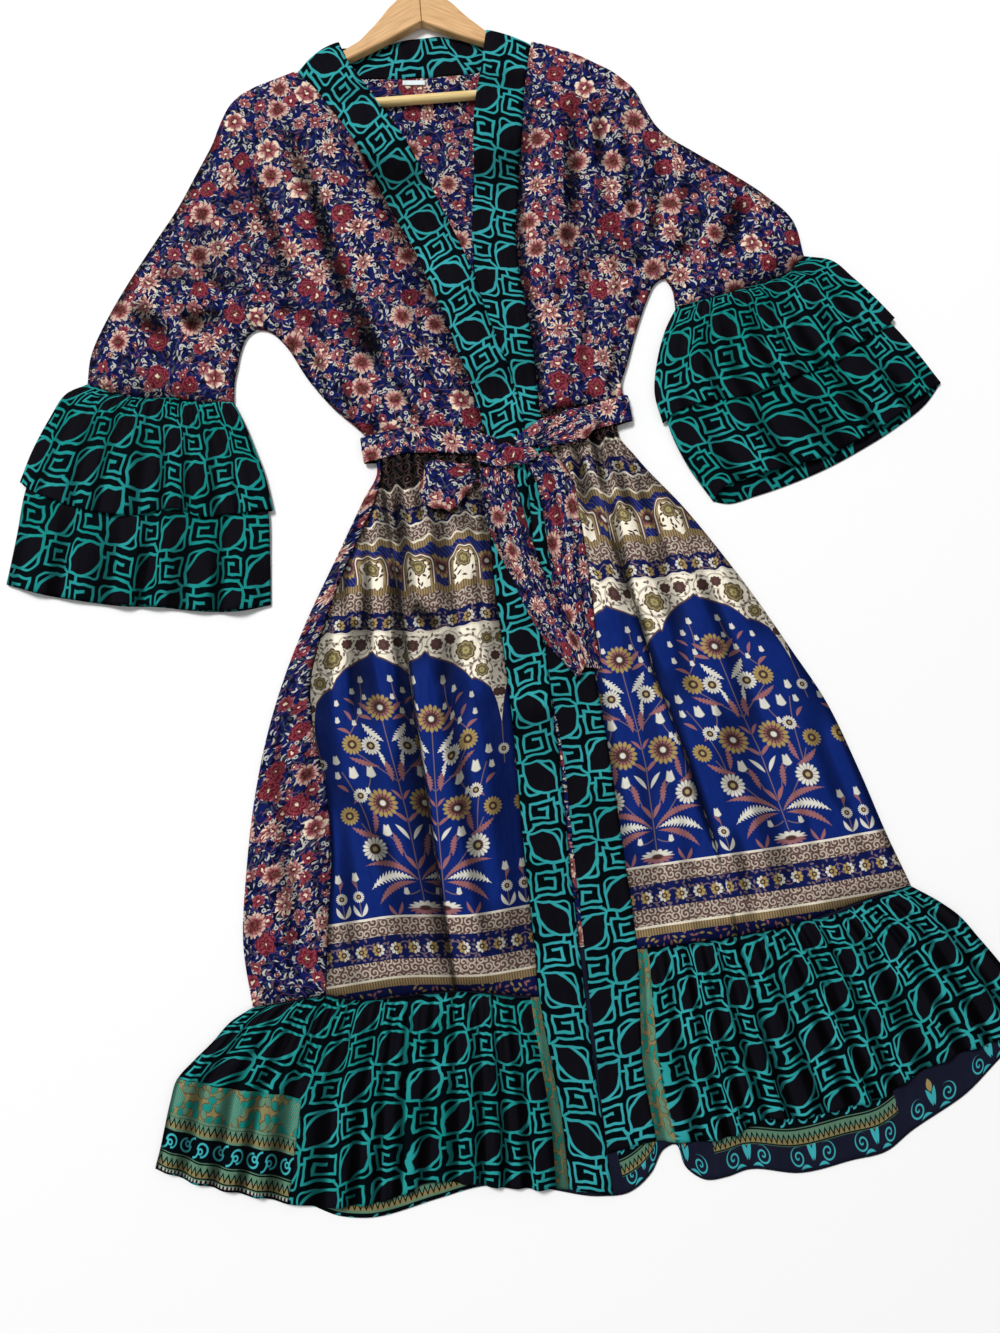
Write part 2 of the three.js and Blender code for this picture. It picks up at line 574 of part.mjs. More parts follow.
const RUFFLE_RIGHT = [
  { low: [21.3, -690], high: [35.5, -515.7] },
  { low: [60, -697], high: [62, -517.6] },
  { low: [95, -697], high: [88, -519] },
  { low: [125, -688], high: [113, -519.8] },
  { low: [160, -693], high: [140, -520] },
  { low: [205, -690], high: [170, -519.4] },
  { low: [240, -687], high: [200, -516.5] },
  { low: [270, -674], high: [228, -515.4] },
  { low: [310, -662], high: [255, -509.3] },
  { low: [355, -655], high: [283, -504.6] },
  { low: [399, -638], high: [309.7, -501] },
];
const GATHERS_LEFT = { waves: 14, rise: 7, seed: 1.3 };
const GATHERS_RIGHT = { waves: 14, rise: 7, seed: 4.1 };
const RUFFLE_COLUMNS = 56;
const RUFFLE_ROWS = [0, 0.24, 0.48, 0.76, 1];
const ruffleSeam = (edge, { foot, ruffleTop }, shift) => seamAlong(edge, foot, ruffleTop - WAIST_SEAM_GAP, shift);
const ruffleSeams = {
  left: ruffleSeam(BAND_LEFT_OUTER, BAND_ENDS.left, -SEAM_GAP),
  right: ruffleSeam(BAND_RIGHT_OUTER, BAND_ENDS.right, SEAM_GAP),
};

const rufflePlans = {
  left: panelPlan({
    sections: RUFFLE_LEFT, startEdge: [...RUFFLE_LEFT_SIDE].reverse(),
    endEdge: ruffleSeams.left, fade: 2,
  }),
  right: panelPlan({
    sections: RUFFLE_RIGHT, startEdge: ruffleSeams.right,
    endEdge: [[399, -638], [390, -612], [376.5, -583], [364, -560], [349, -535], [334, -520], [309.7, -501]],
    fade: 2,
  }),
};

const ruffleUnderside = (gathers) => (x, y, u, v) => FRONT_LEVEL + gatherHeight(gathers, u, v);

function frontRuffle(side, gathers) {
  return panelWall(rufflePlans[side], ruffleUnderside(gathers),
    { across: steps(RUFFLE_COLUMNS), along: RUFFLE_ROWS });
}

// The border patch lies on the left ruffle: it is the ruffle's own upper side, moved out
const PATCH = { columns: 18, rows: [0.03, 0.24, 0.46], cloth: 1.1, gap: 0.7 };

function borderPatch() {
  const ruffle = panelSides(rufflePlans.left, ruffleUnderside(GATHERS_LEFT),
    { across: steps(RUFFLE_COLUMNS), along: RUFFLE_ROWS }).upper;
  const onRuffle = (column, v) => {
    let row = 0;
    while (v > RUFFLE_ROWS[row + 1]) row += 1;
    const t = (v - RUFFLE_ROWS[row]) / (RUFFLE_ROWS[row + 1] - RUFFLE_ROWS[row]);
    return mixPoint(ruffle[column][row], ruffle[column][row + 1], t);
  };
  const grid = (rise) => steps(PATCH.columns).map((_, column) => PATCH.rows.map((v) => {
    const [x, y, z] = onRuffle(column, v);
    return [x, y, z + rise];
  }));
  return wallBetween(grid(PATCH.gap + PATCH.cloth), grid(PATCH.gap));
}

// The back ruffle lies flat; its hem shows below the front on the right and dips in beside the bands
function backRuffle() {
  const sections = [
    { low: [-447, -637], high: [-339, -508.2] },
    { low: [-400, -660], high: [-310, -508] },
    { low: [-350, -680], high: [-275, -507.6] },
    { low: [-310, -692], high: [-245, -507.2] },
    { low: [-285, -706], high: [-230, -507] },
    { low: [-262, -712], high: [-215, -506.8] },
    { low: [-190, -707], high: [-165, -506.3] },
    { low: [-150, -703], high: [-140, -506] },
    { low: [-100, -712], high: [-100, -505.5] },
    { low: [-40, -730], high: [-50, -505] },
    { low: [-12, -731], high: [-20, -504.6] },
    { low: [12, -717], high: [5, -504.3] },
    { low: [27, -699], high: [20, -504] },
    { low: [39, -697], high: [32, -503.9] },
    { low: [44, -718], high: [42, -503.8] },
    { low: [56, -730], high: [52, -503.6] },
    { low: [80, -733], high: [75, -503.3] },
    { low: [100, -730], high: [92, -503] },
    { low: [150, -741], high: [135, -502.5] },
    { low: [200, -738], high: [175, -502] },
    { low: [235, -735], high: [205, -501.6] },
    { low: [260, -722], high: [228, -501.3] },
    { low: [320, -697], high: [262, -500.8] },
    { low: [358, -672], high: [288, -500.5] },
    { low: [402, -642], high: [310, -500.2] },
  ];
  const plan = panelPlan({
    sections, startEdge: [...RUFFLE_LEFT_SIDE].reverse(), endEdge: [...RUFFLE_RIGHT_SIDE].reverse(), fade: 3,
  });
  const drop = (x, y) => [x, y - SEAM_GAP];
  return panelWall((u, v) => drop(...plan(u, v)), () => 0, { across: steps(52), along: [0, 0.2, 1] });
}

// Cuff flounces: flattened tubes, a short upper tier over a long lower one

const TIER_LEVEL = 0.4;
const CUFF_SEAM_GAP = { left: 1.6, right: 0.9 };
const CUFF_INSET = 1.2;
const CUFF_SIDE_FADE = 0.12;
const CUFF_SIDE_STEPS = [0, 0.04, 0.14, 0.26, 0.38, 0.5, 0.62, 0.74, 0.86, 0.96, 1];

// A tube from the seam to the hem. Its foot lies at one height and its top at another, and both may change
// towards the hem; the waves rise on the upper layer only.
function flounceTube({ rows, seam, hem, backHem, base, height, waves }) {
  const sections = rows.map(({ outer, inner }) => ({ low: outer, high: inner }));
  const planOf = (endEdge) => panelPlan({ sections, startEdge: seam, endEdge, fade: 2 });
  const [front, back] = [planOf(hem), planOf(backHem || hem)];
  const lines = steps(waves.rows);
  const ring = (isOuter) => lines.map((u) => {
    const inset = isOuter ? 0 : CLOTH;
    const foot = base(u) + inset;
    const top = base(u) + height(u) - inset;
    const width = distance(front(u, 0), front(u, 1));
    const margin = inset * CUFF_INSET / width;
    const place = (plan, s) => plan(u, mix(margin, 1 - margin, s));
    const ripple = (s) => {
      const turn = waves.count * s + DRIFT.quick * Math.sin(DRIFT.slowRate * s + waves.seed);
      const sides = ease(s / CUFF_SIDE_FADE) * ease((1 - s) / CUFF_SIDE_FADE);
      const fade = sides * ease((u - waves.from) / (1 - waves.from));
      return waves.rise * (0.5 - 0.5 * Math.cos(2 * Math.PI * turn)) * fade;
    };
    const over = CUFF_SIDE_STEPS.map((s) => {
      const isSide = s === 0 || s === 1;
      return [...place(front, s), isSide ? (foot + top) / 2 : top + ripple(s)];
    });
    const under = CUFF_SIDE_STEPS.slice(1, -1).reverse().map((s) => [...place(back, s), foot]);
    return [...over, ...under];
  });
  return wallBetween(ring(true), ring(false), true);
}

const UPPER_TIER = { height: 4 * CLOTH + 3 * TIER_LEVEL };
const LOWER_TIER = {
  height: 2 * CLOTH + TIER_LEVEL, lift: CLOTH + TIER_LEVEL, settleFrom: 0.55, settle: 0.4,
};

// The lower tier starts inside the upper one and settles on the floor beyond it
const lowerTierBase = (u) => LOWER_TIER.lift * (1 - ease((u - LOWER_TIER.settleFrom) / LOWER_TIER.settle));

const FLOUNCES = {
  cuff_upper_left: {
    rows: [
      { outer: [-428, 143.4], inner: [-279, 98.4] },
      { outer: [-450, 137], inner: [-271, 74] },
      { outer: [-470, 113], inner: [-264, 45] },
      { outer: [-490, 83], inner: [-258, 18] },
      { outer: [-507, 50], inner: [-254, -22] },
    ],
    seam: shifted([...CUFF_SEAM_LEFT].reverse(), 0, -CUFF_SEAM_GAP.left),
    hem: [[-507, 50], [-498, 40], [-480, 28], [-450, 12], [-420, 0], [-400, -5], [-345, -8], [-330, -18],
      [-300, -21], [-254, -22]],
    base: () => 0,
    height: () => UPPER_TIER.height,
    waves: { rows: 5, count: 3, rise: 4, seed: 0.6, from: 0.1 },
  },
  cuff_lower_left: {
    rows: [
      { outer: [-421, 137.5], inner: [-285, 96.5] },
      { outer: [-460, 107], inner: [-271, 45] },
      { outer: [-500, 46], inner: [-259.5, -20] },
      { outer: [-516, -5], inner: [-264, -70] },
      { outer: [-532, -55], inner: [-270, -120] },
    ],
    seam: [[-421, 137.5], [-398, 126], [-360, 115], [-340, 111.5], [-320, 105], [-285, 96.5]],
    hem: [[-532, -55], [-500, -70], [-460, -84], [-420, -96], [-380, -104], [-352, -112], [-300, -121],
      [-270, -120]],
    base: lowerTierBase,
    height: () => LOWER_TIER.height,
    waves: { rows: 6, count: 3, rise: 6, seed: 2.2, from: 0.5 },
  },
  cuff_upper_right: {
    rows: [
      { outer: [345, 162.1], inner: [198, 127.1] },
      { outer: [372, 153], inner: [183, 106] },
      { outer: [391, 130], inner: [168, 74] },
      { outer: [408, 106], inner: [158, 38] },
      { outer: [425, 78], inner: [160, 4] },
    ],
    seam: shifted([...CUFF_SEAM_RIGHT].reverse(), 0, -CUFF_SEAM_GAP.right),
    hem: [[425, 78], [418, 72], [380, 55], [345, 37], [300, 28], [260, 18], [200, 17], [175, 12], [160, 4]],
    base: () => 0,
    height: () => UPPER_TIER.height,
    waves: { rows: 5, count: 3, rise: 4, seed: 3.4, from: 0.1 },
  },
  cuff_lower_right: {
    rows: [
      { outer: [339, 155], inner: [204.5, 123.5] },
      { outer: [385, 124], inner: [175, 70] },
      { outer: [418, 76], inner: [165, 6] },
      { outer: [440, 38], inner: [176, -42] },
      { outer: [458, 0], inner: [196, -87] },
    ],
    seam: [[339, 155], [318, 141], [300, 136.5], [270, 132.5], [240, 128.5], [204.5, 123.5]],
    hem: [[458, 0], [438, -9], [400, -31], [360, -47], [320, -60], [280, -65], [240, -69], [212, -74],
      [196, -87]],
    backHem: [[458, 0], [440, -18], [400, -41], [360, -58], [320, -72], [280, -82], [240, -89], [210, -92],
      [196, -87]],
    base: lowerTierBase,
    height: () => LOWER_TIER.height,
    waves: { rows: 6, count: 3, rise: 6, seed: 5.1, from: 0.5 },
  },
};

// Belt

const TAIL_CROWN = 0.4;
const PATH_STEP = 0.01;

// A strip along a path of rows: each has its middle, its width and the height of its underside
function stripWall(rows, cloth, columns, count) {
  const path = smoothCurve(rows.map(({ at, width, under }) => [...at, width, under]),
    stationsOf(rows.map(({ at }) => at)));
  const grid = (rise) => steps(count).map((t) => {
    const [x, y, width, under] = path(t);
    const [before, after] = [path(Math.max(0, t - PATH_STEP)), path(Math.min(1, t + PATH_STEP))];
    const turn = Math.atan2(after[1] - before[1], after[0] - before[0]);
    return steps(columns).map((s) => {
      const aside = (s - 0.5) * width;
      const crown = rise === 0 ? 0 : TAIL_CROWN * Math.sin(Math.PI * s);
      return [x - Math.sin(turn) * aside, y + Math.cos(turn) * aside, under + rise + crown];
    });
  });
  return wallBetween(grid(cloth), grid(0));
}

const BELT_TOP = FRONT_LEVEL + BELT_LIFT + CROSSED_BAND_RISE + BAND_CLOTH + 0.6;
const TAIL_LEVEL = FRONT_LEVEL + CROSSED_BAND_RISE + BAND_CLOTH + 0.5;

// The belt goes once round the waist: under the back, up round both sides and over the front to the knot.
// The side rows are given outward from the body's side.
const BELT_SIDE = [
  { out: -2, width: 26, z: 0 },
  { out: 1.6, width: 27, z: 1.6 },
  { out: 2.4, width: 28, z: 4 },
  { out: -0.5, width: 28, z: FRONT_LEVEL + BELT_LIFT + CLOTH + 2.2 },
];
const BELT_SIDES = { left: -151, right: 127, y: 25 };
const BELT_FRONT_LEFT = [
  { x: -14, y: 6, width: 16, z: BELT_TOP },
  { x: -48, y: 17, width: 30, z: BELT_TOP },
  { x: -80, y: 24, width: 30, z: BELT_TOP - 0.4 },
  { x: -110, y: 28, width: 28, z: BELT_TOP - 1.2 },
];
const BELT_BACK = [
  { x: -60, y: 15, width: 34, z: 0 },
  { x: 40, y: 15, width: 34, z: 0 },
];
const BELT_FRONT_RIGHT = [
  { x: 100, y: 22, width: 28, z: BELT_TOP - 1.2 },
  { x: 70, y: 18, width: 28, z: BELT_TOP - 0.4 },
  { x: 34, y: 14, width: 26, z: BELT_TOP },
  { x: 4, y: 4, width: 16, z: BELT_TOP },
];

function beltWrap() {
  const side = (x, outward) => BELT_SIDE.map(({ out, width, z }) => ({
    x: x + outward * out, y: BELT_SIDES.y, width, z,
  }));
  const rows = [
    ...BELT_FRONT_LEFT, ...side(BELT_SIDES.left, -1).reverse(), ...BELT_BACK,
    ...side(BELT_SIDES.right, 1), ...BELT_FRONT_RIGHT,
  ];
  const shell = (offset) => rows.map(({ x, y, width, z }, i) => {
    const [a, b] = [rows[Math.max(0, i - 1)], rows[Math.min(rows.length - 1, i + 1)]];
    const length = Math.hypot(b.x - a.x, b.z - a.z);
    const [nx, nz] = [(b.z - a.z) / length, -(b.x - a.x) / length];
    const rise = z + BELT_CLOTH / 2;
    return steps(2).map((s) => [x + nx * offset, y + (s - 0.5) * width, rise + nz * offset]);
  });
  return wallBetween(shell(BELT_CLOTH / 2), shell(-BELT_CLOTH / 2));
}

// A bow loop: out along the lower layer, round the tip and back along the upper one
const LOOP_PROFILE = [
  { f: 0, z: 0.15 }, { f: 0.35, z: 0 }, { f: 0.7, z: 0 }, { f: 0.92, z: 0.12 }, { f: 1, z: 0.5 },
  { f: 0.92, z: 0.88 }, { f: 0.7, z: 1 }, { f: 0.35, z: 0.95 }, { f: 0, z: 0.7 },
];
const LOOP_SHAPE = { opensBy: 0.62, closesFrom: 0.75, tipWidth: 0.62 };

function beltLoop({ root, tip, rootWidth, width, under, rise }) {
  const [dx, dy] = [tip[0] - root[0], tip[1] - root[1]];
  const length = Math.hypot(dx, dy);
  const [ax, ay] = [dx / length, dy / length];
  const last = LOOP_PROFILE.length - 1;
  const shell = (offset) => LOOP_PROFILE.map(({ f, z }, i) => {
    const [a, b] = [LOOP_PROFILE[Math.max(0, i - 1)], LOOP_PROFILE[Math.min(last, i + 1)]];
    const [du, dz] = [(b.f - a.f) * length, (b.z - a.z) * rise];
    const size = Math.hypot(du, dz);
    const along = f * length + (dz / size) * offset;
    const level = under + BELT_CLOTH / 2 + z * rise - (du / size) * offset;
    const { opensBy, closesFrom, tipWidth } = LOOP_SHAPE;
    const closing = ease((f - closesFrom) / (1 - closesFrom));
    const spread = mix(rootWidth, width, ease(f / opensBy)) * mix(1, tipWidth, closing);
    return steps(4).map((s) => [root[0] + ax * along - ay * (s - 0.5) * spread,
      root[1] + ay * along + ax * (s - 0.5) * spread, level]);
  });
  return wallBetween(shell(BELT_CLOTH / 2), shell(-BELT_CLOTH / 2));
}

// The knot is a rounded lump of wound cloth
const KNOT = { centre: [-7, -8], half: [31, 12.5, 4.6], turn: -6, clear: 0.3 };

function beltKnot() {
  const geometry = new THREE.SphereGeometry(1, 16, 8);
  geometry.rotateX(Math.PI / 2);
  geometry.scale(...KNOT.half);
  geometry.rotateZ(THREE.MathUtils.degToRad(KNOT.turn));
  geometry.translate(...KNOT.centre, BELT_TOP + BELT_CLOTH + KNOT.clear + KNOT.half[2]);
  return geometry;
}

const TAIL_RIGHT = [
  { at: [22, -14], width: 26, under: BELT_TOP + 0.4 },
  { at: [35, -34], width: 35, under: TAIL_LEVEL + 1.6 },
  { at: [38.5, -80], width: 37, under: TAIL_LEVEL + 0.2 },
  { at: [37, -120], width: 38, under: TAIL_LEVEL },
  { at: [35, -160], width: 39, under: TAIL_LEVEL },
  { at: [33, -200], width: 37, under: TAIL_LEVEL },
  { at: [39, -238], width: 20, under: TAIL_LEVEL },
];
const TAIL_LEFT = [
  { at: [-20, -16], width: 34, under: BELT_TOP + 0.4 },
  { at: [-20, -52], width: 39, under: TAIL_LEVEL + 1.4 },
  { at: [-16, -92], width: 38, under: TAIL_LEVEL + 0.4 },
  { at: [-8, -128], width: 33, under: TAIL_LEVEL + 1.2 },
  { at: [2, -165], width: 33, under: TAIL_LEVEL + 2.4 },
  { at: [14, -200], width: 31, under: TAIL_LEVEL + 2.4 },
  { at: [31, -240], width: 16, under: TAIL_LEVEL + 2.4 },
];

// The bare label on the neckband's seam
const LABEL = { size: [25, 6, 0.6], turn: -9, place: [-36, 436], clear: 0.4 };

function neckLabel() {
  const geometry = new THREE.BoxGeometry(...LABEL.size);
  geometry.rotateZ(THREE.MathUtils.degToRad(LABEL.turn));
  geometry.translate(...LABEL.place, CLOTH + LABEL.clear + LABEL.size[2] / 2);
  return geometry;
}

// Hanger

function hangerPlace(geometry) {
  geometry.rotateZ(THREE.MathUtils.degToRad(HANGER.turn));
  geometry.translate(HANGER.notch[0], HANGER.notch[1], FRONT_LEVEL);
  return geometry;
}

// One arm: a flat board whose end turns down to take the bar, with a rounded neck at the middle
const ARM_OUTLINE = [[0.15, 0], [40, -20], [85, -40], [120, -54.5], [150, -69], [173, -80.5], [182, -84.5],
  [182, -98], [194, -98], [197, -90], [194, -80.5], [180, -71.5], [150, -56], [120, -42], [91, -29],
  [70, -17], [49, 4], [36, 20], [24, 31], [20, 42], [12, 48], [0.15, 48]];

function hangerArm(side) {
  const shape = new THREE.Shape(ARM_OUTLINE.map(([x, y]) => new THREE.Vector2(x, y)));
  const geometry = new THREE.ExtrudeGeometry(shape, {
    depth: HANGER.thickness - 2 * HANGER.bevel, bevelEnabled: true, bevelSegments: 1,
    bevelThickness: HANGER.bevel, bevelSize: HANGER.bevel, bevelOffset: -HANGER.bevel,
  });
  geometry.translate(0, 0, HANGER.bevel);
  if (side < 0) geometry.rotateY(Math.PI).translate(0, 0, HANGER.thickness);
  return hangerPlace(geometry);
}

function hangerBar() {
  const geometry = new THREE.CylinderGeometry(HANGER.barRadius, HANGER.barRadius, 2 * HANGER.barEnd, 12);
  geometry.rotateZ(Math.PI / 2);
  geometry.translate(0, HANGER.barY, HANGER.barRadius);
  return hangerPlace(geometry);
}

// The hook: a straight stem out of the neck, then most of a circle
const HOOK = { stem: [48.4, 56, 63], centre: [0, 98], radius: 26, from: -62, to: 200, arcSteps: 14, steps: 26 };

function hangerHook() {
  const stem = HOOK.stem.map((y) => new THREE.Vector3(0, y, 0));
  const arc = steps(HOOK.arcSteps).map((t) => {
    const angle = THREE.MathUtils.degToRad(mix(HOOK.from, HOOK.to, t));
    const [x, y] = [HOOK.radius * Math.cos(angle), HOOK.radius * Math.sin(angle)];
    return new THREE.Vector3(HOOK.centre[0] + x, HOOK.centre[1] + y, 0);
  });
  const curve = new THREE.CatmullRomCurve3([...stem, ...arc]);
  const wire = new THREE.Shape();
  wire.absarc(0, 0, HANGER.wireRadius, 0, 2 * Math.PI, false);
  const geometry = new THREE.ExtrudeGeometry(wire, { extrudePath: curve, steps: HOOK.steps, curveSegments: 3 });
  geometry.translate(0, 0, HANGER.thickness / 2);
  return hangerPlace(geometry);
}

// The robe

const robe = new THREE.Group();

function addPiece(name, geometry, finish) {
  const mesh = new THREE.Mesh(geometry, new THREE.MeshStandardMaterial({ metalness: 0, ...FINISH[finish] }));
  mesh.name = name;
  robe.add(mesh);
}

addPiece('bodice_back', backBodice(), 'floral');
addPiece('neckband_back', backNeckband(), 'geometric');
addPiece('skirt_back', skirtBack(), 'floral');
addPiece('ruffle_back', backRuffle(), 'geometric');
addPiece('bodice_front_left', frontBodice(BODICE_LEFT, bodiceEdgeLeft, CUFF_SEAM_LEFT), 'floral');
addPiece('bodice_front_right', frontBodice(BODICE_RIGHT, bodiceEdgeRight, CUFF_SEAM_RIGHT), 'floral');
addPiece('skirt_front_left', skirtFrontLeft(), 'border');
addPiece('skirt_front_right', skirtFrontRight(), 'border');
addPiece('ruffle_front_left', frontRuffle('left', GATHERS_LEFT), 'geometric');
addPiece('ruffle_front_right', frontRuffle('right', GATHERS_RIGHT), 'geometric');
addPiece('ruffle_border_patch', borderPatch(), 'greenBorder');
addPiece('band_right', frontBand({
  outer: BAND_RIGHT_OUTER, inner: BAND_RIGHT_INNER, ends: BAND_ENDS.right, isOver: false,
}), 'geometric');
addPiece('band_left', frontBand({
  outer: BAND_LEFT_OUTER, inner: BAND_LEFT_INNER, ends: BAND_ENDS.left, isOver: true,
}), 'geometric');
for (const [name, flounce] of Object.entries(FLOUNCES)) {
  addPiece(name, flounceTube(flounce), 'geometric');
}
addPiece('belt_wrap', beltWrap(), 'floral');
addPiece('belt_loop_left', beltLoop({
  root: [-42.5, -19], tip: [-101, -38], rootWidth: 22, width: 56, under: BELT_TOP - 0.6, rise: 5,
}), 'floral');
addPiece('belt_loop_right', beltLoop({
  root: [26, 1], tip: [94, 17], rootWidth: 16, width: 36, under: BELT_TOP + BELT_CLOTH + 0.6, rise: 6,
}), 'floral');
addPiece('belt_tail_right', stripWall(TAIL_RIGHT, BELT_CLOTH, 3, 14), 'floral');
addPiece('belt_tail_left', stripWall(TAIL_LEFT, BELT_CLOTH, 3, 14), 'floral');
addPiece('belt_knot', beltKnot(), 'floral');
addPiece('neck_label', neckLabel(), 'label');
addPiece('hanger_arm_left', hangerArm(-1), 'beech');
addPiece('hanger_arm_right', hangerArm(1), 'beech');
addPiece('hanger_bar', hangerBar(), 'paleWood');
addPiece('hanger_hook', hangerHook(), 'wire');

export default robe;
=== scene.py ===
"""Kimono robe with gathered ruffles, laid flat on its wooden hanger: cloth, prints, light and camera.

Lengths in the tables are millimetres in the robe's own frame: +Y towards the neck, +X to the viewer's right,
+Z up. Left and right are the viewer's. Cloth surfaces are functions of two parameters worked out as arrays.
"""
import functools
import json
import bpy
import numpy as np
from mathutils import Matrix, Vector

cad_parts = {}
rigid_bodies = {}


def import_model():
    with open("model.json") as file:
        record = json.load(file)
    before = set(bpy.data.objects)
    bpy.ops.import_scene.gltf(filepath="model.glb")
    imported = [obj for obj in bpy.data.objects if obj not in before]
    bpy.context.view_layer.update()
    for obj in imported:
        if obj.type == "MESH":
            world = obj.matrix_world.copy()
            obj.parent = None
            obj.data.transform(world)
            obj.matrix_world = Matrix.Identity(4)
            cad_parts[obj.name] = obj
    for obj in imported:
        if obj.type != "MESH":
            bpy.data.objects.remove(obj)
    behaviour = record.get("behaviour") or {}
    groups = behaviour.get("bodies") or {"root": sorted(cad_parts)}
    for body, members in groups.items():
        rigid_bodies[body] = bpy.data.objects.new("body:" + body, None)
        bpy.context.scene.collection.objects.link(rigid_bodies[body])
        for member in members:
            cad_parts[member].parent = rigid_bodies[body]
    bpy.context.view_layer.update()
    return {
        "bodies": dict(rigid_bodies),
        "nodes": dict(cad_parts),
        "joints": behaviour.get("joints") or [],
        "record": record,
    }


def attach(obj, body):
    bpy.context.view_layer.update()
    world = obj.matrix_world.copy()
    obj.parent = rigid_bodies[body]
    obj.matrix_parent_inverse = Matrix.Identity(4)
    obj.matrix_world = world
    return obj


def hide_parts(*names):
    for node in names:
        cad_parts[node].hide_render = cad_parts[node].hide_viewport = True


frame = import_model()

MM = 0.001

# Thickness of the cloth and the heights of its layers, as in the solids
CLOTH = 1.5
BAND_CLOTH = 1.8
BELT_CLOTH = 1.3
SHEET = 0.9
RIM_DROP = 0.3
SEAM_GAP = 0.3
FRONT_LEVEL = 1.9
CROSSED_BAND_RISE = 2.6
BELT_LIFT = 1.7
BELT_TOP = FRONT_LEVEL + BELT_LIFT + CROSSED_BAND_RISE + BAND_CLOTH + 0.6
TAIL_LEVEL = FRONT_LEVEL + CROSSED_BAND_RISE + BAND_CLOTH + 0.5

WAIST = {"y": 16, "plateau": 26, "fall": 75}
HANGER = {"notch": (-16.6, 501.1), "turn": -4.6, "thickness": 10, "bar_y": -91, "bar_radius": 5,
          "bar_end": 181.6, "wire_radius": 2}
TENT = {"rise": 12.4, "half_span": 212, "above_arm": 3, "over_fall": 14, "over_drop": 0.2, "arm_depth": 18,
        "below_bar": 114, "fall": 75, "end_fall": 42, "sag": 1.2}
TURN = {"start": 0.9933, "clear": 0.4}


# Curves and panels

def ease(t):
    """Smooth step: t squared times three less two t, between 0 and 1."""
    t = np.clip(t, 0, 1)
    return t * t * (3 - 2 * t)


def mix(a, b, t):
    """The value t of the way from a to b."""
    return a + (b - a) * t


def fades(t, first, last):
    """1 in the middle, easing to 0 at t 0 over the first share and at t 1 over the last."""
    return ease(t / first) * ease((1 - t) / last)


def unit(vectors):
    """Each vector over its own length."""
    return vectors / np.maximum(1e-9, np.linalg.norm(vectors, axis=-1, keepdims=True))


def turned(x, y, degrees):
    """A place turned about the origin."""
    angle = np.radians(degrees)
    return x * np.cos(angle) - y * np.sin(angle), x * np.sin(angle) + y * np.cos(angle)


def stacked(*coordinates):
    """Joins coordinate grids into a grid of points."""
    return np.stack(np.broadcast_arrays(*coordinates), -1)


def lattice(m, n):
    """Two parameter grids from 0 to 1, u down the rows and v along the columns."""
    return np.meshgrid(np.linspace(0, 1, m), np.linspace(0, 1, n), indexing="ij")


def distance_along(points):
    """Running distance along rows of points."""
    return np.r_[0, np.cumsum(np.linalg.norm(np.diff(points, axis=0), axis=1))]


def smooth_curve(rows, stations=None):
    """Cubic pieces through the rows, with slopes weighted by the distance between rows."""
    rows = np.asarray(rows, float)
    if stations is None:
        run = distance_along(rows[:, :2])
        stations = run / run[-1]
    stations = np.asarray(stations, float)
    span = np.diff(stations)
    rate = np.diff(rows, axis=0) / span[:, None]
    slope = np.vstack([rate[:1], np.zeros((len(rows) - 2, rows.shape[1])), rate[-1:]])
    before, after = span[:-1, None], span[1:, None]
    slope[1:-1] = (rate[:-1] * after + rate[1:] * before) / (before + after)

    def at(t):
        t = np.asarray(t, float)
        i = np.clip(np.searchsorted(stations, t, side="left") - 1, 0, len(rows) - 2)
        h = span[i][..., None]
        s = ((t - stations[i]) / span[i])[..., None]
        return (rows[i] * (2 * s**3 - 3 * s**2 + 1) + slope[i] * h * (s**3 - 2 * s**2 + s)
                + rows[i + 1] * (3 * s**2 - 2 * s**3) + slope[i + 1] * h * (s**3 - s**2))
    return at


def x_at_height(edge):
    """The x of an edge at any y: a smooth curve of the edge's points sorted by y."""
    rows = np.array(sorted(edge, key=lambda p: p[1]), float)
    low, high = rows[0, 1], rows[-1, 1]
    curve = smooth_curve(rows, (rows[:, 1] - low) / (high - low))
    return lambda y: curve((np.asarray(y, float) - low) / (high - low))[..., 0]


def seam_along(edge, low_y, high_y, shift):
    """The part of an edge between two heights, moved sideways by shift."""
    x_at = x_at_height(edge)

    def at(v):
        y = mix(low_y, high_y, np.asarray(v, float))
        return np.stack([x_at(y) + shift, y], -1)
    return at


def panel_plan(sections, start=None, end=None, fade=1):
    """Plan of a panel. Each section joins a point of the low edge to one of the high edge; u runs over the
    sections and v from low to high. The first and last sections may bow along an edge of their own, and the
    bow fades into the panel as a power of the distance."""
    sections = np.asarray(sections, float)
    lows, highs = sections[:, :2], sections[:, 2:]
    run = (distance_along(lows) + distance_along(highs)) / 2
    stations = run / run[-1]
    low, high = smooth_curve(lows, stations), smooth_curve(highs, stations)

    def bow_of(edge, section):
        if edge is None:
            return lambda v: 0.0
        curve = edge if callable(edge) else smooth_curve(edge)
        return lambda v: curve(v) - mix(section[:2], section[2:], np.asarray(v, float)[..., None])
    first, final = bow_of(start, sections[0]), bow_of(end, sections[-1])

    def at(u, v):
        u, v = np.broadcast_arrays(np.asarray(u, float), np.asarray(v, float))
        return (mix(low(u), high(u), v[..., None]) + first(v) * ((1 - u) ** fade)[..., None]
                + final(v) * (u ** fade)[..., None])
    return at


def ends_as(seam):
    """One section row from a seam's two ends."""
    low, high = seam(0.0), seam(1.0)
    return (*low, *high)


# Heights that the layers share

def to_hanger(x, y):
    """Turns a place into the hanger's own frame, with its origin at the lower notch."""
    return turned(x - HANGER["notch"][0], y - HANGER["notch"][1], -HANGER["turn"])


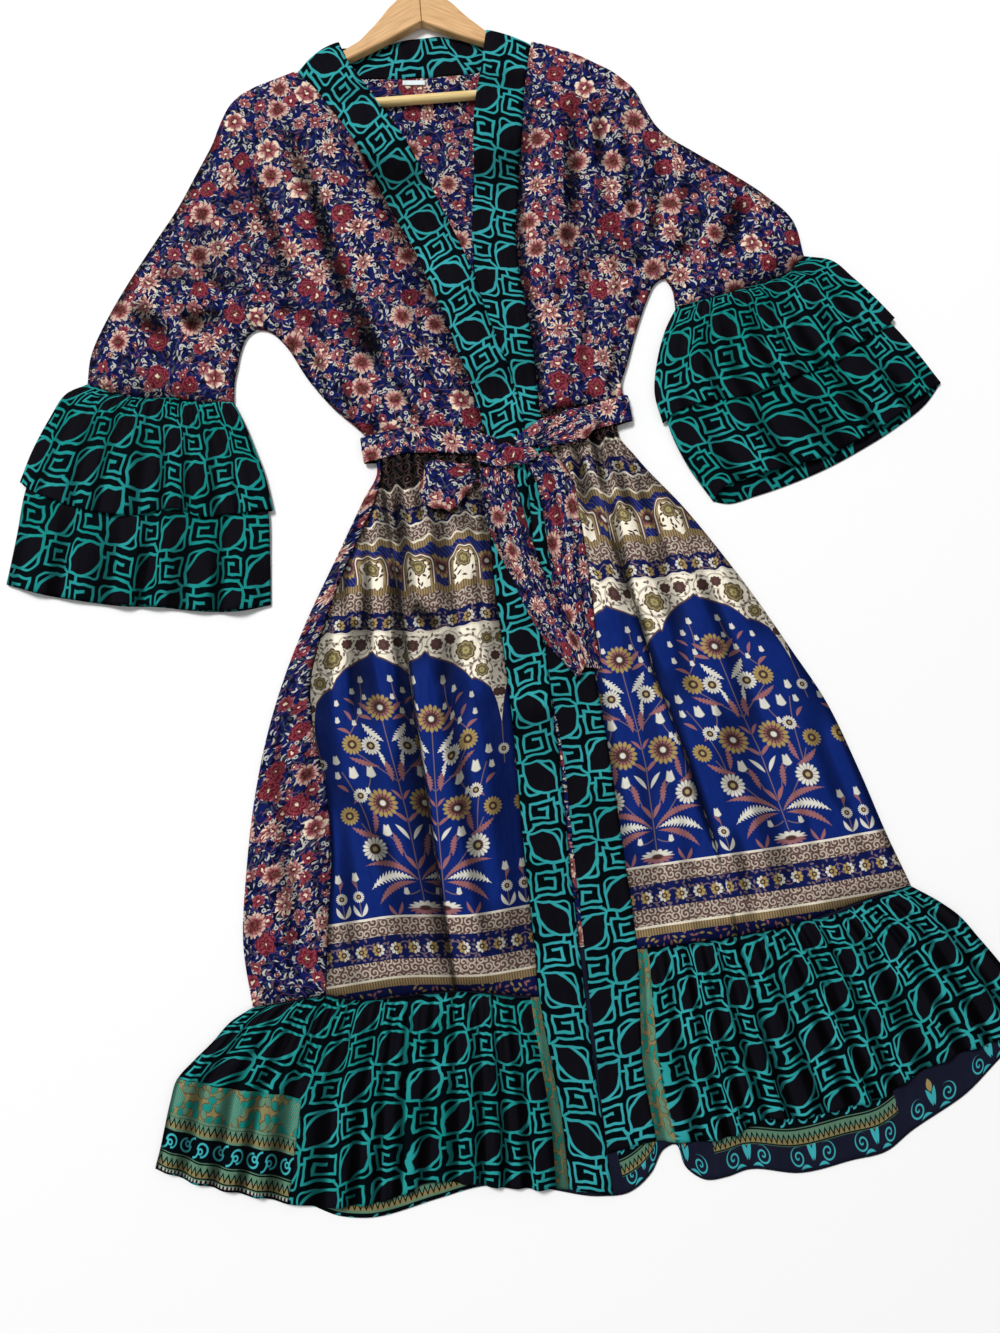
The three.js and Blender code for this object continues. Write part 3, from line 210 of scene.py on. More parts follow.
def from_hanger(points):
    """Turns rows of x, y in the hanger's frame into the robe's frame."""
    return stacked(*turned(points[..., 0], points[..., 1], HANGER["turn"])) + HANGER["notch"]


def waist_lift(x, y):
    """The belt's back run lifts what lies on it; the lift eases off above and below."""
    far = (np.abs(y - WAIST["y"]) - WAIST["plateau"]) / (WAIST["fall"] - WAIST["plateau"])
    return BELT_LIFT * (1 - ease(far)) + 0 * x


# Upper edge of a hanger's arm: distance from the middle, height
ARM_EDGE = [(0, 34), (34, 21), (49, 4), (70, -17), (91, -28), (120, -41), (150, -55), (180, -70.5),
            (200, -84), (260, -122)]
ARM_END = ARM_EDGE[-1][0]
ARM_TOP = smooth_curve(ARM_EDGE, [side / ARM_END for side, _ in ARM_EDGE])


def tent_rise(x, y):
    """Cloth over the hanger: full height from arm to bar with a slight sag, easing off past the arm's upper
    edge, below the bar and beyond the arms' ends."""
    hx, hy = to_hanger(x, y)
    side = np.abs(hx)
    arm_top = ARM_TOP(np.clip(side / ARM_END, 0, 1))[..., 1]
    over = ease((hy - arm_top - TENT["above_arm"]) / TENT["over_fall"])
    under = ease((-TENT["below_bar"] - hy) / TENT["fall"])
    beyond = ease((side - TENT["half_span"]) / TENT["end_fall"])
    foot = arm_top - TENT["arm_depth"]
    depth = np.clip((foot - hy) / (foot + TENT["below_bar"]), 0, 1)
    sag = TENT["sag"] * np.sin(np.pi * depth) ** 2
    return np.maximum(0, (TENT["rise"] - sag) * (1 - TENT["over_drop"] * over) * (1 - under) * (1 - beyond))


def turn_of(t):
    """How far an edge has turned down round the hanger: 0 on the panel, 1 at its end."""
    return ease((t - TURN["start"]) / (1 - TURN["start"]))


# How far a fold runs on past its two points, and over what share of its length it eases off
FOLD_END = {"past": 0.12, "fade": 0.3}
VALLEY_WIDTH = 1.25


def fold_height(folds, x, y):
    """Sum of soft ridges: each is a bell across its line, with a width on each side, and eases off at its
    ends. A row holds from x, from y, to x, to y, rise, width on the left and on the right."""
    height = 0.0
    for x0, y0, x1, y1, rise, left, right in folds:
        length = np.hypot(x1 - x0, y1 - y0)
        along = ((x - x0) * (x1 - x0) + (y - y0) * (y1 - y0)) / length ** 2
        aside = ((x - x0) * (y1 - y0) - (y - y0) * (x1 - x0)) / length
        width = np.where(aside < 0, left, right)
        past, fade = FOLD_END["past"], FOLD_END["fade"]
        ends = ease((along + past) / fade) * ease((1 + past - along) / fade)
        height = height + rise * ends * np.exp(-(aside / width) ** 2)
    return height


def open_share(valleys, x, y):
    """How much of the cloth's swell is left: 1 in the open, falling to 0 in the valleys, each a bell across
    its line that eases off at its ends. A row holds from x, from y, to x, to y, share, width on the left and
    on the right, and all widths are widened alike."""
    left_over = 1.0
    for *line, left, right in valleys:
        depth = fold_height([(*line, left * VALLEY_WIDTH, right * VALLEY_WIDTH)], x, y)
        left_over = left_over * (1 - np.clip(depth, 0, 1))
    return left_over


def uneven_waves(t, count, wander, pace, seed=0.0):
    """Waves between 0 and 1 whose spacing wanders: half of 1 plus the sine of count turns and a slow sine."""
    return 0.5 + 0.5 * np.sin(2 * np.pi * (count * t + wander * np.sin(pace * t + seed)))


def sized_waves(phase, seed, smallest):
    """Waves between 0 and 1, one for each whole number of the phase, each with a size of its own."""
    size = mix(smallest, 1, 0.5 + 0.5 * np.sin(2.4 * np.floor(phase) + seed))
    return (0.5 - 0.5 * np.cos(2 * np.pi * phase)) * size


def crumple(x, y, seed, scale, rise):
    """Gentle unevenness of lying cloth: a sum of sines in turned directions, kept above zero."""
    draw = np.random.default_rng(seed)
    height = 0.0
    for k in range(7):
        angle, phase = draw.uniform(0, np.pi), draw.uniform(0, 2 * np.pi)
        wave = scale * draw.uniform(0.6, 1.7)
        bend = np.sin((x * np.sin(angle) - y * np.cos(angle)) / (2.3 * wave) + 3 * phase)
        height = height + np.sin((x * np.cos(angle) + y * np.sin(angle)) / wave + phase + 0.8 * bend)
    return rise * (0.5 + height / 14)


# Meshes

def averaged(values, axis, reach):
    """Mean over a window of the given reach to each side, along one axis of a grid."""
    values = np.moveaxis(values, axis, 0)
    padded = np.concatenate([np.repeat(values[:1], reach + 1, 0), values, np.repeat(values[-1:], reach, 0)])
    total = np.cumsum(padded, 0)
    return np.moveaxis((total[2 * reach + 1:] - total[:-2 * reach - 1]) / (2 * reach + 1), 0, axis)


# Reach over which heights are compared for the painted fold shade, and the depth that counts as one
FOLD_REACHES = [(10.0, 1.8), (28.0, 3.4)]


def fold_shade(grid, relief, painted_shade):
    """Painted shade for each point, deeper in the folds: the mean height of the cloth near it less its own,
    over a depth, for a near and a far reach, plus the painted shade given for the point; it levels off towards
    1, and on crests it goes down to minus a half, which paints them lighter."""
    shade = painted_shade
    for reach, depth in FOLD_REACHES:
        height = relief
        for axis in (0, 1, 0, 1):
            step = np.median(np.linalg.norm(np.diff(grid, axis=axis), axis=-1))
            window = max(1, min(grid.shape[axis] // 3, round(reach / max(step, 0.3))))
            height = averaged(height, axis, window)
        shade = shade + (height - relief) / depth
    return np.where(shade > 0, 1 - np.exp(-np.maximum(shade, 0)), np.maximum(shade, -0.5))


def put_mesh(name, points, quads, uv, caps=(), shade=None):
    """Makes a mesh object at the origin from points in millimetres, smooth quads and flat end caps, with a uv
    and the painted shade of its folds for each point."""
    mesh = bpy.data.meshes.new(name)
    mesh.from_pydata((points * MM).tolist(), [], quads.tolist() + list(caps))
    layer = mesh.uv_layers.new(name="cloth")
    index = np.empty(len(mesh.loops), np.int32)
    mesh.loops.foreach_get("vertex_index", index)
    layer.data.foreach_set("uv", (uv[index] * MM).astype(np.float32).ravel())
    # the fold attribute is painted shade: the colour is darkened by it in folds and lightened on crests
    if shade is not None:
        fold = mesh.attributes.new("fold", "FLOAT", "POINT")
        fold.data.foreach_set("value", shade.astype(np.float32).ravel())
    mesh.polygons.foreach_set("use_smooth", [True] * len(quads) + [False] * len(caps))
    mesh.update()
    piece = bpy.data.objects.new(name, mesh)
    bpy.context.scene.collection.objects.link(piece)
    return piece


def grid_quads(rows, columns, closed):
    """The quads of a grid of points, row by row; a closed grid joins its last column to its first."""
    i, j = np.meshgrid(np.arange(rows - 1), np.arange(columns if closed else columns - 1), indexing="ij")
    i, j = i.ravel(), j.ravel()
    k = (j + 1) % columns
    return np.stack([i * columns + j, i * columns + k, (i + 1) * columns + k, (i + 1) * columns + j], 1)


def end_caps(rows, columns):
    """Two flat faces that close a stack of rings, the first one turned over."""
    last = (rows - 1) * columns
    return [list(range(columns))[::-1], list(range(last, last + columns))]


def points_inward(points, quads):
    """Whether the faces' signed volume is below zero."""
    a, b, c, d = (points[quads[:, k]] for k in range(4))
    return np.sum(a * (np.cross(b, c) + np.cross(c, d))) < 0


def grid_normals(grid, closed=False):
    """Unit normals of a grid: the cross product of the central differences along its rows and columns."""
    rows = np.gradient(grid, axis=0)
    columns = (np.roll(grid, -1, 1) - np.roll(grid, 1, 1)) if closed else np.gradient(grid, axis=1)
    return unit(np.cross(rows, columns))


def cloth_piece(name, outer, uv, thickness=SHEET, closed=False, inward=(0, 0, -1), relief=None, painted_shade=0.0):
    """A thin closed shell: the given outer surface, an inner one a thickness below it along the normals, and
    a rim. inward points roughly from the outer side to the inner one at the grid's first point; relief is the
    height of the folds alone."""
    m, n = outer.shape[:2]
    # painted shade from the folds' relief plus the painted shade given: darker in folds, lighter on crests
    shade = fold_shade(outer, outer[..., 2] if relief is None else relief, painted_shade).ravel()
    normal = grid_normals(outer, closed)
    if np.dot(normal[0, 0], inward) < 0:
        normal = -normal
    inner = outer + normal * thickness
    if not closed:
        rim = np.zeros((m, n, 1), bool)
        rim[0], rim[-1], rim[:, 0], rim[:, -1] = True, True, True, True
        outer = np.where(rim, outer + normal * thickness * RIM_DROP, outer)
    points = np.concatenate([outer.reshape(-1, 3), inner.reshape(-1, 3)])
    top = grid_quads(m, n, closed)
    faces = [top, top[:, ::-1] + m * n]
    columns = np.arange(n if closed else n - 1)
    following = (columns + 1) % n
    sides = [(columns, following, False), ((m - 1) * n + columns, (m - 1) * n + following, True)]
    if not closed:
        rows = np.arange(m - 1) * n
        sides += [(rows, rows + n, True), (rows + n - 1, rows + 2 * n - 1, False)]
    for p, q, flip in sides:
        quad = np.stack([p, p + m * n, q + m * n, q], 1)
        faces.append(quad[:, ::-1] if flip else quad)
    faces = np.concatenate(faces)
    if points_inward(points, faces):
        faces = faces[:, ::-1]
    uv = uv.reshape(-1, 2)
    return put_mesh(name, points, faces, np.concatenate([uv, uv]), shade=np.concatenate([shade, shade]))


# Edge tables, in the plan

BAND_LEFT_OUTER = [
    (-165.4, 464), (-145, 439), (-129, 408), (-109, 366), (-94, 322), (-80, 277), (-65, 235), (-57, 200),
    (-45, 155), (-38, 115), (-30, 75), (-26, 40), (-26, 10), (-30, -40), (-37, -90), (-41, -140), (-43, -200),
    (-45, -250), (-48, -300), (-52, -350), (-56, -400), (-59, -450), (-62, -500), (-65, -543), (-64, -600),
    (-63, -660), (-67, -719)]
BAND_LEFT_INNER = [
    (-112, 496), (-103, 462), (-92, 439), (-76, 403), (-60, 372), (-40, 319), (-28, 279), (-14, 228),
    (-8, 205), (-3, 165), (6, 120), (13, 80), (17, 30), (14, 0), (8, -60), (3, -130), (-1, -200),
    (-4.5, -260), (-7, -330), (-11, -380), (-15, -430), (-18, -480), (-21, -530), (-24.5, -600),
    (-27, -690), (-28, -731)]
BAND_RIGHT_OUTER = [
    (98.6, 457), (87, 420), (78, 388), (69, 346), (60, 313), (53, 274), (46, 250), (42, 215), (41, 120),
    (39, 80), (36, 37), (38, 0), (40, -40), (42, -100), (43, -180), (43, -250), (43, -300), (42, -350),
    (39, -430), (37, -490), (34, -530), (27, -575), (21, -620), (21, -690)]
BAND_RIGHT_INNER = [
    (54, 483), (46, 458), (38, 430), (28, 401), (20, 369), (12, 319), (4, 280), (-3, 239), (-6, 205),
    (-10, 150), (-11, 100), (-10, 60), (-9, 20), (-8, -40), (-7, -120), (-5, -200), (-3.2, -260),
    (-3, -330), (-6.5, -380), (-10, -430), (-13, -480), (-16.5, -530), (-20.5, -600), (-24, -650),
    (-26, -694)]
CUFF_SEAM_LEFT = [(-279, 100), (-300, 104), (-320, 108), (-340, 115), (-360, 118), (-385, 124), (-400, 130),
                  (-428, 145)]
CUFF_SEAM_RIGHT = [(198, 128), (240, 132), (270, 136), (300, 140), (320, 145), (345, 163)]
SIDE_SEAM_LEFT = [(-137, 24), (-138, -2), (-146, -24), (-181, -82), (-217, -148), (-241, -210), (-244, -255),
                  (-240, -310), (-244, -380), (-257, -448), (-267, -507.5)]
BAND_ENDS = {"left": {"foot": -719, "ruffle_top": -543, "waist": 25, "top": 464, "crown": 7},
             "right": {"foot": -690, "ruffle_top": -515, "waist": 37, "top": 457, "crown": 2}}

# Sections: low x, low y, high x, high y
BODICE_LEFT = [
    (-64, 25, -180, 460), (-103, 26, -196, 456), (-141, 28, -212, 452), (-152, 47, -225, 447),
    (-176, 76, -237, 437), (-198, 112, -250, 420), (-215, 151, -265, 397), (-229, 171, -285, 367),
    (-243, 177, -310, 330), (-256, 171, -345, 287), (-265, 155, -375, 249), (-270, 140, -400, 214),
    (-276, 121, -421, 176), (-279, 100, -428, 145)]
BODICE_RIGHT = [
    (64, 37, 114, 450), (93, 35, 130, 441.5), (121, 31, 147, 431.5), (126, 55, 163, 419),
    (138, 79, 178, 407), (151, 107, 190, 393), (168, 139, 201, 379), (181, 158, 211, 354),
    (191, 163, 224, 330), (197, 156, 252, 303), (199, 147, 284, 274), (199, 140, 318, 240),
    (198.5, 133, 342, 205), (198, 128, 345, 163)]
NECK_SEAM = [(-165.4, 464), (-130, 456), (-93, 451), (-55, 444), (-20, 440), (10, 438), (35, 437), (70, 445),
             (98.6, 457)]
NECK_EDGE = [(-112, 492), (-85, 489), (-60, 487), (-36, 490), (-17, 489), (1, 488), (14, 483), (28, 478),
             (52, 477)]
BACK_WAIST = [(-141, 28), (-103, 26), (-64, 25), (-26, 25), (10, 27), (36, 29), (64, 30), (93, 31), (121, 31)]
# Left edge x, y, right edge x, y
SKIRT_BACK = [
    (-142, 24, 119, 24.5), (-142, -1, 112, 0), (-160, -27, 126, -28), (-200, -88, 164, -88),
    (-240, -150, 197, -150), (-270, -205, 223, -205), (-290, -250, 242, -250), (-310, -308, 266, -308),
    (-328, -380, 284, -380), (-340, -450, 298, -450), (-338.5, -507.5, 310, -499.5)]
RUFFLE_LEFT_SIDE = [(-339, -508.2), (-360, -517), (-380, -533), (-400, -547), (-418, -562), (-425, -578),
                    (-433, -600), (-440, -620), (-447, -637)]
RUFFLE_RIGHT_SIDE = [(310, -500.2), (335, -520), (350, -535), (365, -560), (378, -583), (392, -612),
                     (402, -642)]
RUFFLE_LEFT = [
    (-447, -637, -339, -508.2), (-400, -660, -305, -509.3), (-350, -679, -268, -509.3),
    (-300, -695, -240, -517.8), (-262, -700, -215, -521.4), (-225, -698, -185, -522.6),
    (-200, -691, -165, -524), (-165, -696, -140, -526.4), (-120, -709, -104, -535.8),
    (-95, -713, -85, -541.2), (-67.3, -719, -65.3, -543.7)]
RUFFLE_RIGHT = [
    (21.3, -690, 35.5, -515.7), (60, -697, 62, -517.6), (95, -697, 88, -519), (125, -688, 113, -519.8),
    (160, -693, 140, -520), (205, -690, 170, -519.4), (240, -687, 200, -516.5), (270, -674, 228, -515.4),
    (310, -662, 255, -509.3), (355, -655, 283, -504.6), (399, -638, 309.7, -501)]
RUFFLE_RIGHT_END = [(399, -638), (390, -612), (376.5, -583), (364, -560), (349, -535), (334, -520),
                    (309.7, -501)]
RUFFLE_BACK = [
    (-447, -637, -339, -508.2), (-400, -660, -310, -508), (-350, -680, -275, -507.6),
    (-310, -692, -245, -507.2), (-285, -706, -230, -507), (-262, -712, -215, -506.8),
    (-190, -707, -165, -506.3), (-150, -703, -140, -506), (-100, -712, -100, -505.5),
    (-40, -730, -50, -505), (-12, -731, -20, -504.6), (12, -717, 5, -504.3), (27, -699, 20, -504),
    (39, -697, 32, -503.9), (44, -718, 42, -503.8), (56, -730, 52, -503.6), (80, -733, 75, -503.3),
    (100, -730, 92, -503), (150, -741, 135, -502.5), (200, -738, 175, -502), (235, -735, 205, -501.6),
    (260, -722, 228, -501.3), (320, -697, 262, -500.8), (358, -672, 288, -500.5),
    (402, -642, 310, -500.2)]

# Folds: from x, from y, to x, to y, rise, width on the left, width on the right
BODICE_FOLDS = [
    (-198, 420, -178, 200, 4.5, 11, 16), (-152, 400, -132, 170, 4, 12, 15), (-112, 300, -84, 60, 4, 12, 12),
    (-345, 232, -216, 196, 5, 12, 14), (-388, 190, -290, 160, 4, 12, 12), (-150, 130, -112, 52, 4, 11, 11),
    (124, 420, 92, 235, 5, 9, 15), (90, 220, 76, 60, 4.5, 9, 13), (66, 330, 58, 120, 3, 10, 10),
    (254, 246, 218, 196, 5, 10, 13), (206, 240, 190, 176, 4, 9, 10), (130, 190, 108, 66, 4, 10, 11),
    (312, 216, 268, 160, 4, 12, 12)]
BODICE_CREASES = [
    (-225, 430, -205, 300, 2.2, 6, 9), (-175, 330, -158, 120, 2.4, 7, 9), (-132, 250, -104, 90, 2.2, 6, 8),
    (-270, 330, -236, 215, 2.6, 7, 9), (-310, 270, -262, 190, 2.4, 6, 8), (-360, 262, -300, 150, 2, 7, 9),
    (-395, 222, -350, 140, 2.2, 6, 8), (-250, 240, -200, 160, 2.4, 6, 8), (-120, 120, -96, 34, 2.6, 5, 7),
    (-82, 110, -68, 30, 2.4, 5, 7), (-58, 120, -48, 36, 2, 4, 6), (-168, 160, -140, 60, 2.2, 6, 7),
    (-205, 190, -165, 110, 2.4, 6, 7), (-240, 400, -275, 300, 2, 7, 9),
    (150, 400, 128, 250, 2.4, 6, 9), (176, 380, 160, 230, 2.2, 6, 9), (105, 330, 82, 180, 2.2, 6, 8),
    (118, 170, 92, 50, 2.6, 5, 7), (72, 140, 62, 44, 2.4, 5, 6), (56, 120, 50, 44, 1.8, 4, 5),
    (228, 310, 210, 200, 2.4, 6, 8), (280, 262, 236, 180, 2.4, 6, 8), (330, 215, 296, 150, 2.2, 6, 8),
    (190, 330, 178, 190, 2.2, 6, 8), (108, 110, 100, 44, 2.2, 4, 6), (158, 180, 132, 90, 2.4, 6, 7)]
SKIRT_FOLDS = [
    (-174, -70, -186, -150, 5, 8, 8), (-150, -30, -164, -230, 6, 9, 12), (-112, -10, -112, -150, 5, 11, 9),
    (-72, -60, -74, -240, 4.5, 12, 10), (-126, -210, -122, -512, 6.5, 11, 30),
    (-206, -230, -214, -490, 4, 24, 18), (66, -130, 70, -330, 4, 8, 10), (92, -30, 120, -240, 5, 9, 12),
    (138, -80, 168, -300, 4.5, 12, 13), (216, -240, 246, -480, 4.5, 22, 18),
    (128, -290, 130, -500, 4, 18, 22)]
SKIRT_CREASES = [
    (-96, 6, -100, -90, 2.6, 5, 7), (-60, 0, -60, -120, 2.4, 5, 6), (-130, -10, -140, -120, 2.6, 5, 7),
    (-48, -40, -54, -180, 2, 5, 6), (-200, -130, -214, -260, 2.6, 8, 9),
    (-180, -240, -176, -420, 2.2, 12, 14), (-88, -260, -90, -470, 2.4, 10, 12),
    (-236, -330, -250, -500, 2, 10, 9), (-156, -120, -170, -300, 2, 8, 9), (56, 10, 54, -110, 2.4, 5, 6),
    (76, 4, 88, -110, 2.6, 5, 7), (104, -10, 128, -130, 2.6, 6, 7), (58, -150, 58, -420, 2.2, 7, 9),
    (100, -160, 112, -360, 2.4, 9, 10), (176, -130, 210, -330, 2.6, 10, 11),
    (196, -330, 214, -500, 2.2, 12, 12), (86, -380, 84, -512, 2.2, 9, 10),
    (160, -380, 164, -512, 2.4, 11, 12), (262, -330, 286, -480, 2, 9, 9),
    (140, -210, 150, -330, 2, 8, 9)]
SIDE_FOLDS = [
    (-206, -110, -262, -230, 2.6, 7, 8), (-266, -240, -276, -400, 3, 10, 10),
    (-300, -320, -312, -480, 2.6, 9, 9), (-262, -330, -282, -490, 2.4, 8, 9),
    (-240, -170, -268, -300, 2, 7, 8), (-322, -400, -326, -500, 1.8, 7, 7)]

# Valleys between the folds: from x, from y, to x, to y, share, width on the left, width on the right
SWELL = 3.6
BODICE_VALLEYS = [
    (-192, 412, -165, 330, 0.7, 10, 12), (-165, 340, -150, 240, 0.9, 10, 12),
    (-150, 250, -122, 120, 1, 12, 11), (-222, 350, -203, 210, 0.8, 8, 9),
    (-322, 196, -262, 207, 0.9, 9, 9), (-262, 207, -204, 188, 1, 10, 9), (-208, 205, -178, 120, 0.6, 9, 8),
    (-118, 120, -100, 50, 0.7, 7, 8), (-370, 225, -330, 160, 0.6, 8, 8), (-300, 260, -270, 210, 0.5, 8, 9),
    (-88, 200, -70, 60, 0.5, 7, 8), (-160, 90, -138, 36, 0.6, 7, 8), (128, 440, 118, 380, 0.6, 8, 9),
    (122, 385, 100, 250, 0.95, 10, 9), (152, 380, 147, 300, 0.7, 6, 7), (94, 250, 78, 150, 1, 9, 9),
    (80, 160, 74, 50, 0.95, 7, 8), (248, 234, 212, 190, 1, 7, 7), (202, 235, 165, 180, 0.7, 7, 8),
    (165, 160, 118, 66, 0.6, 7, 8), (290, 240, 262, 175, 0.5, 8, 8), (322, 230, 306, 170, 0.5, 7, 7),
    (104, 120, 98, 45, 0.6, 5, 6), (176, 330, 168, 240, 0.5, 7, 8)]
SKIRT_VALLEYS = [
    (-146, -205, -147, -525, 1, 5, 9), (-150, -20, -152, -110, 0.8, 6, 7),
    (-128, -5, -130, -80, 0.8, 6, 6), (-104, 5, -104, -60, 0.8, 6, 6), (-80, 5, -82, -60, 0.8, 6, 6),
    (-58, 5, -60, -90, 0.7, 5, 6), (-165, -85, -178, -180, 0.8, 7, 7), (-140, -100, -150, -200, 0.6, 7, 7),
    (-126, -145, -104, -172, 1, 6, 6), (-186, -150, -205, -250, 0.6, 8, 8),
    (-222, -310, -188, -400, 0.8, 9, 9), (-96, -180, -108, -230, 0.5, 7, 7),
    (-84, -360, -86, -520, 0.4, 9, 9), (-236, -400, -252, -505, 0.5, 8, 8), (64, 20, 66, -70, 0.7, 5, 6),
    (84, 15, 88, -60, 0.8, 6, 6), (103, 10, 108, -90, 0.8, 6, 7), (92, -60, 92, -180, 0.8, 6, 6),
    (118, -60, 140, -150, 0.6, 7, 7), (97, -185, 106, -270, 1, 6, 5), (106, -260, 130, -440, 1, 7, 6),
    (66, -200, 64, -330, 0.5, 7, 7), (170, -160, 190, -260, 0.5, 9, 9),
    (226, -260, 256, -420, 0.5, 10, 10), (150, -420, 154, -520, 0.4, 9, 9),
    (88, -430, 88, -516, 0.5, 8, 8)]

RUFFLE_DEPTH = 190
GATHERS_LEFT = {"waves": 14, "rise": 7, "seed": 1.3}
GATHERS_RIGHT = {"waves": 14, "rise": 7, "seed": 4.1}

# How far relief fades in from a panel's four edges: foot, head, first side, last side, as shares of the panel
BODICE_FADES = {"folds": (0.12, 0.12, 0.05, 0.08), "creases": (0.03, 0.05, 0.03, 0.03),
                "swell": (0.2, 0.12, 0.08, 0.1)}
SKIRT_FADES = {"folds": (0.05, 0.08, 0.05, 0.05), "creases": (0.02, 0.02, 0.03, 0.03),
               "swell": (0.06, 0.2, 0.22, 0.22)}
# Share of the folds' height, scale and height of the crumple, height of the gathers and where they begin
BODICE_RELIEF = {"folds": 0.75, "crumple": (13, 1.3), "gathers": 1.6, "gathered_below": 0.16}
SKIRT_RELIEF = {"folds": 0.8, "crumple": (15, 1.2), "gathers": 1.8, "gathered_above": 0.8}
# Share of each relief that the hanger's tent pulls flat
PULLED_FLAT = {"folds": 0.7, "creases": 0.75, "crumple": 0.5}


def panel_fade(u, v, fade):
    """1 inside a panel, easing to 0 at its four edges."""
    foot, head, first, last = fade
    return fades(v, foot, head) * fades(u, first, last)


# Bodice

def bodice_front(name, seam, sections, cuff_seam, seed, print_turn):
    """Front and sleeve in one: a panel from the band's seam to the cuff's seam. Its height is the layer under
    it, plus the tent over the hanger, plus soft folds that ease off at the seams; at the shoulder the last
    rows turn down."""
    u, v = lattice(110, 100)
    v = np.where(v > 0.97, 1 - (1 - v) * 0.9, v)
    plan = panel_plan([ends_as(seam)] + sections, seam, cuff_seam, 1.6)(u, v)
    x, y = plan[..., 0], plan[..., 1]
    folds, near, broad = (panel_fade(u, v, BODICE_FADES[kind]) for kind in ("folds", "creases", "swell"))
    tent = tent_rise(x, y)
    share = tent / TENT["rise"]
    lowered = tent * (1 - turn_of(v)) + TURN["clear"] * turn_of(v) * share
    below = BODICE_RELIEF["gathered_below"]
    gather = BODICE_RELIEF["gathers"] * ease((below - v) / below) * uneven_waves(u, 15, 0.3, 11, seed)
    swell = (BODICE_RELIEF["folds"] * fold_height(BODICE_FOLDS, x, y) * folds
             + SWELL * open_share(BODICE_VALLEYS, x, y) * broad)
    relief = (swell * (1 - PULLED_FLAT["folds"] * share)
              + fold_height(BODICE_CREASES, x, y) * (1 - PULLED_FLAT["creases"] * share) * near
              + crumple(x, y, seed, *BODICE_RELIEF["crumple"]) * near * (1 - PULLED_FLAT["crumple"] * share)
              + gather * near)
    z = FRONT_LEVEL + CLOTH + waist_lift(x, y) + lowered + relief
    uv = stacked(*turned(x, y, print_turn)) + 400
    # the painted fold shade follows the folds and a little of the rise over the hanger
    return cloth_piece(name, stacked(x, y, z), uv, relief=relief + 0.15 * lowered)


def back_bodice_plan():
    """The back runs from cuff to cuff; its top is the neckband's seam and its foot the waist."""
    seam = smooth_curve(NECK_SEAM)(np.linspace(0, 1, len(BACK_WAIST)))
    middle = [(*low, *high) for low, high in zip(BACK_WAIST, seam)]
    return panel_plan(BODICE_LEFT[::-1][:11] + middle + BODICE_RIGHT[3:], CUFF_SEAM_LEFT, CUFF_SEAM_RIGHT, 6)


def bodice_back(name):
    """The flat back, lifted only where the belt runs under it."""
    u, v = lattice(200, 70)
    plan = back_bodice_plan()(u, v)
    x, y = plan[..., 0], plan[..., 1]
    z = CLOTH + waist_lift(x, y)
    return cloth_piece(name, stacked(x, y, z), stacked(x + 700, y + 250))


def neckband_back(name):
    """The neckband behind the neck: a strip from the back's seam to the neck's edge."""
    u, v = lattice(90, 16)
    seam = smooth_curve(NECK_SEAM)(u) + np.array([0, SEAM_GAP])
    plan = mix(seam, smooth_curve(NECK_EDGE)(u), v[..., None])
    crown = 0.15 * np.sin(np.pi * v)
    grid = stacked(plan[..., 0], plan[..., 1], CLOTH + crown)
    return cloth_piece(name, grid, stacked(u * 215, v * 40), 1.2)


# Bands

# Where the left band lies on the right one, and how far above and below it comes down
CROSSING = {"top": 216, "above": 60, "foot": -252, "below": 34}


def crossed_rise(y):
    """The left band rises where it crosses over the right one, and comes down again at both ends."""
    top, foot = CROSSING["top"] + CROSSING["above"], CROSSING["foot"] - CROSSING["below"]
    return CROSSED_BAND_RISE * ease((top - y) / CROSSING["above"]) * ease((y - foot) / CROSSING["below"])


def front_band(name, outer, inner, ends, is_over, offset):
    """A doubled strip from foot to neck. Rows go by height; each joins the inner edge to the outer one, the
    top row bows up over the hanger's arm and turns down there."""
    u, v = lattice(330, 15)
    u = np.where(u > 0.99, 1 - (1 - u) * 0.7, u)
    y = mix(ends["foot"], ends["top"], u)
    inner_y = mix(inner[-1][1], inner[0][1], u)
    low, high = stacked(x_at_height(inner)(inner_y), inner_y), stacked(x_at_height(outer)(y), y)
    plan = mix(low, high, v[..., None])
    px, py = plan[..., 0], plan[..., 1] + ends["crown"] * np.sin(np.pi * v) * ease((u - 0.9) / 0.1)
    tent = tent_rise(px, py)
    turn = turn_of(u)
    lowered = tent * (1 - turn) + TURN["clear"] * turn * tent / TENT["rise"]
    pucker = crumple(px, py, 7 if is_over else 11, 9, 0.7) * ease(u / 0.02) * ease((0.985 - u) / 0.02)
    z = (FRONT_LEVEL + waist_lift(px, py) + lowered + (crossed_rise(py) if is_over else 0) + BAND_CLOTH
         + 0.35 * np.sin(np.pi * v) ** 0.5 + pucker)
    run = distance_along(plan[:, 7])
    width = np.linalg.norm(plan[:, -1] - plan[:, 0], axis=-1)
    uv = stacked((v - 0.5) * width[:, None] + offset[0], run[:, None] + offset[1])
    return cloth_piece(name, stacked(px, py, z), uv, 1.5)


# Skirt

# Where the print lies: height on the robe, x of the first bush's middle, of the fold and of the second bush's
# middle; between the two lies one repeat, and the fold takes up what doesn't show
PRINT_LEFT = [(20, -166, -139, -116), (-110, -162, -139, -115), (-200, -176, -140, -122),
              (-255, -174, -141, -125), (-350, -164, -142, -134), (-432, -160, -143, -140),
              (-530, -158, -144, -143)]
PRINT_RIGHT = [(40, 50, 84, 136), (-110, 58, 84, 149), (-190, 67, 97, 156), (-250, 70, 101, 168),
               (-300, 74, 110, 178), (-345, 76, 118, 189), (-430, 71, 128, 202), (-530, 70, 134, 208)]
REPEAT = 140.0
# Painted shade along the line where a fold takes the cloth in: how deep it is painted (tone) and its half
# width
PLEAT_SHADE = {"tone": 1.8, "half_width": 2.6}


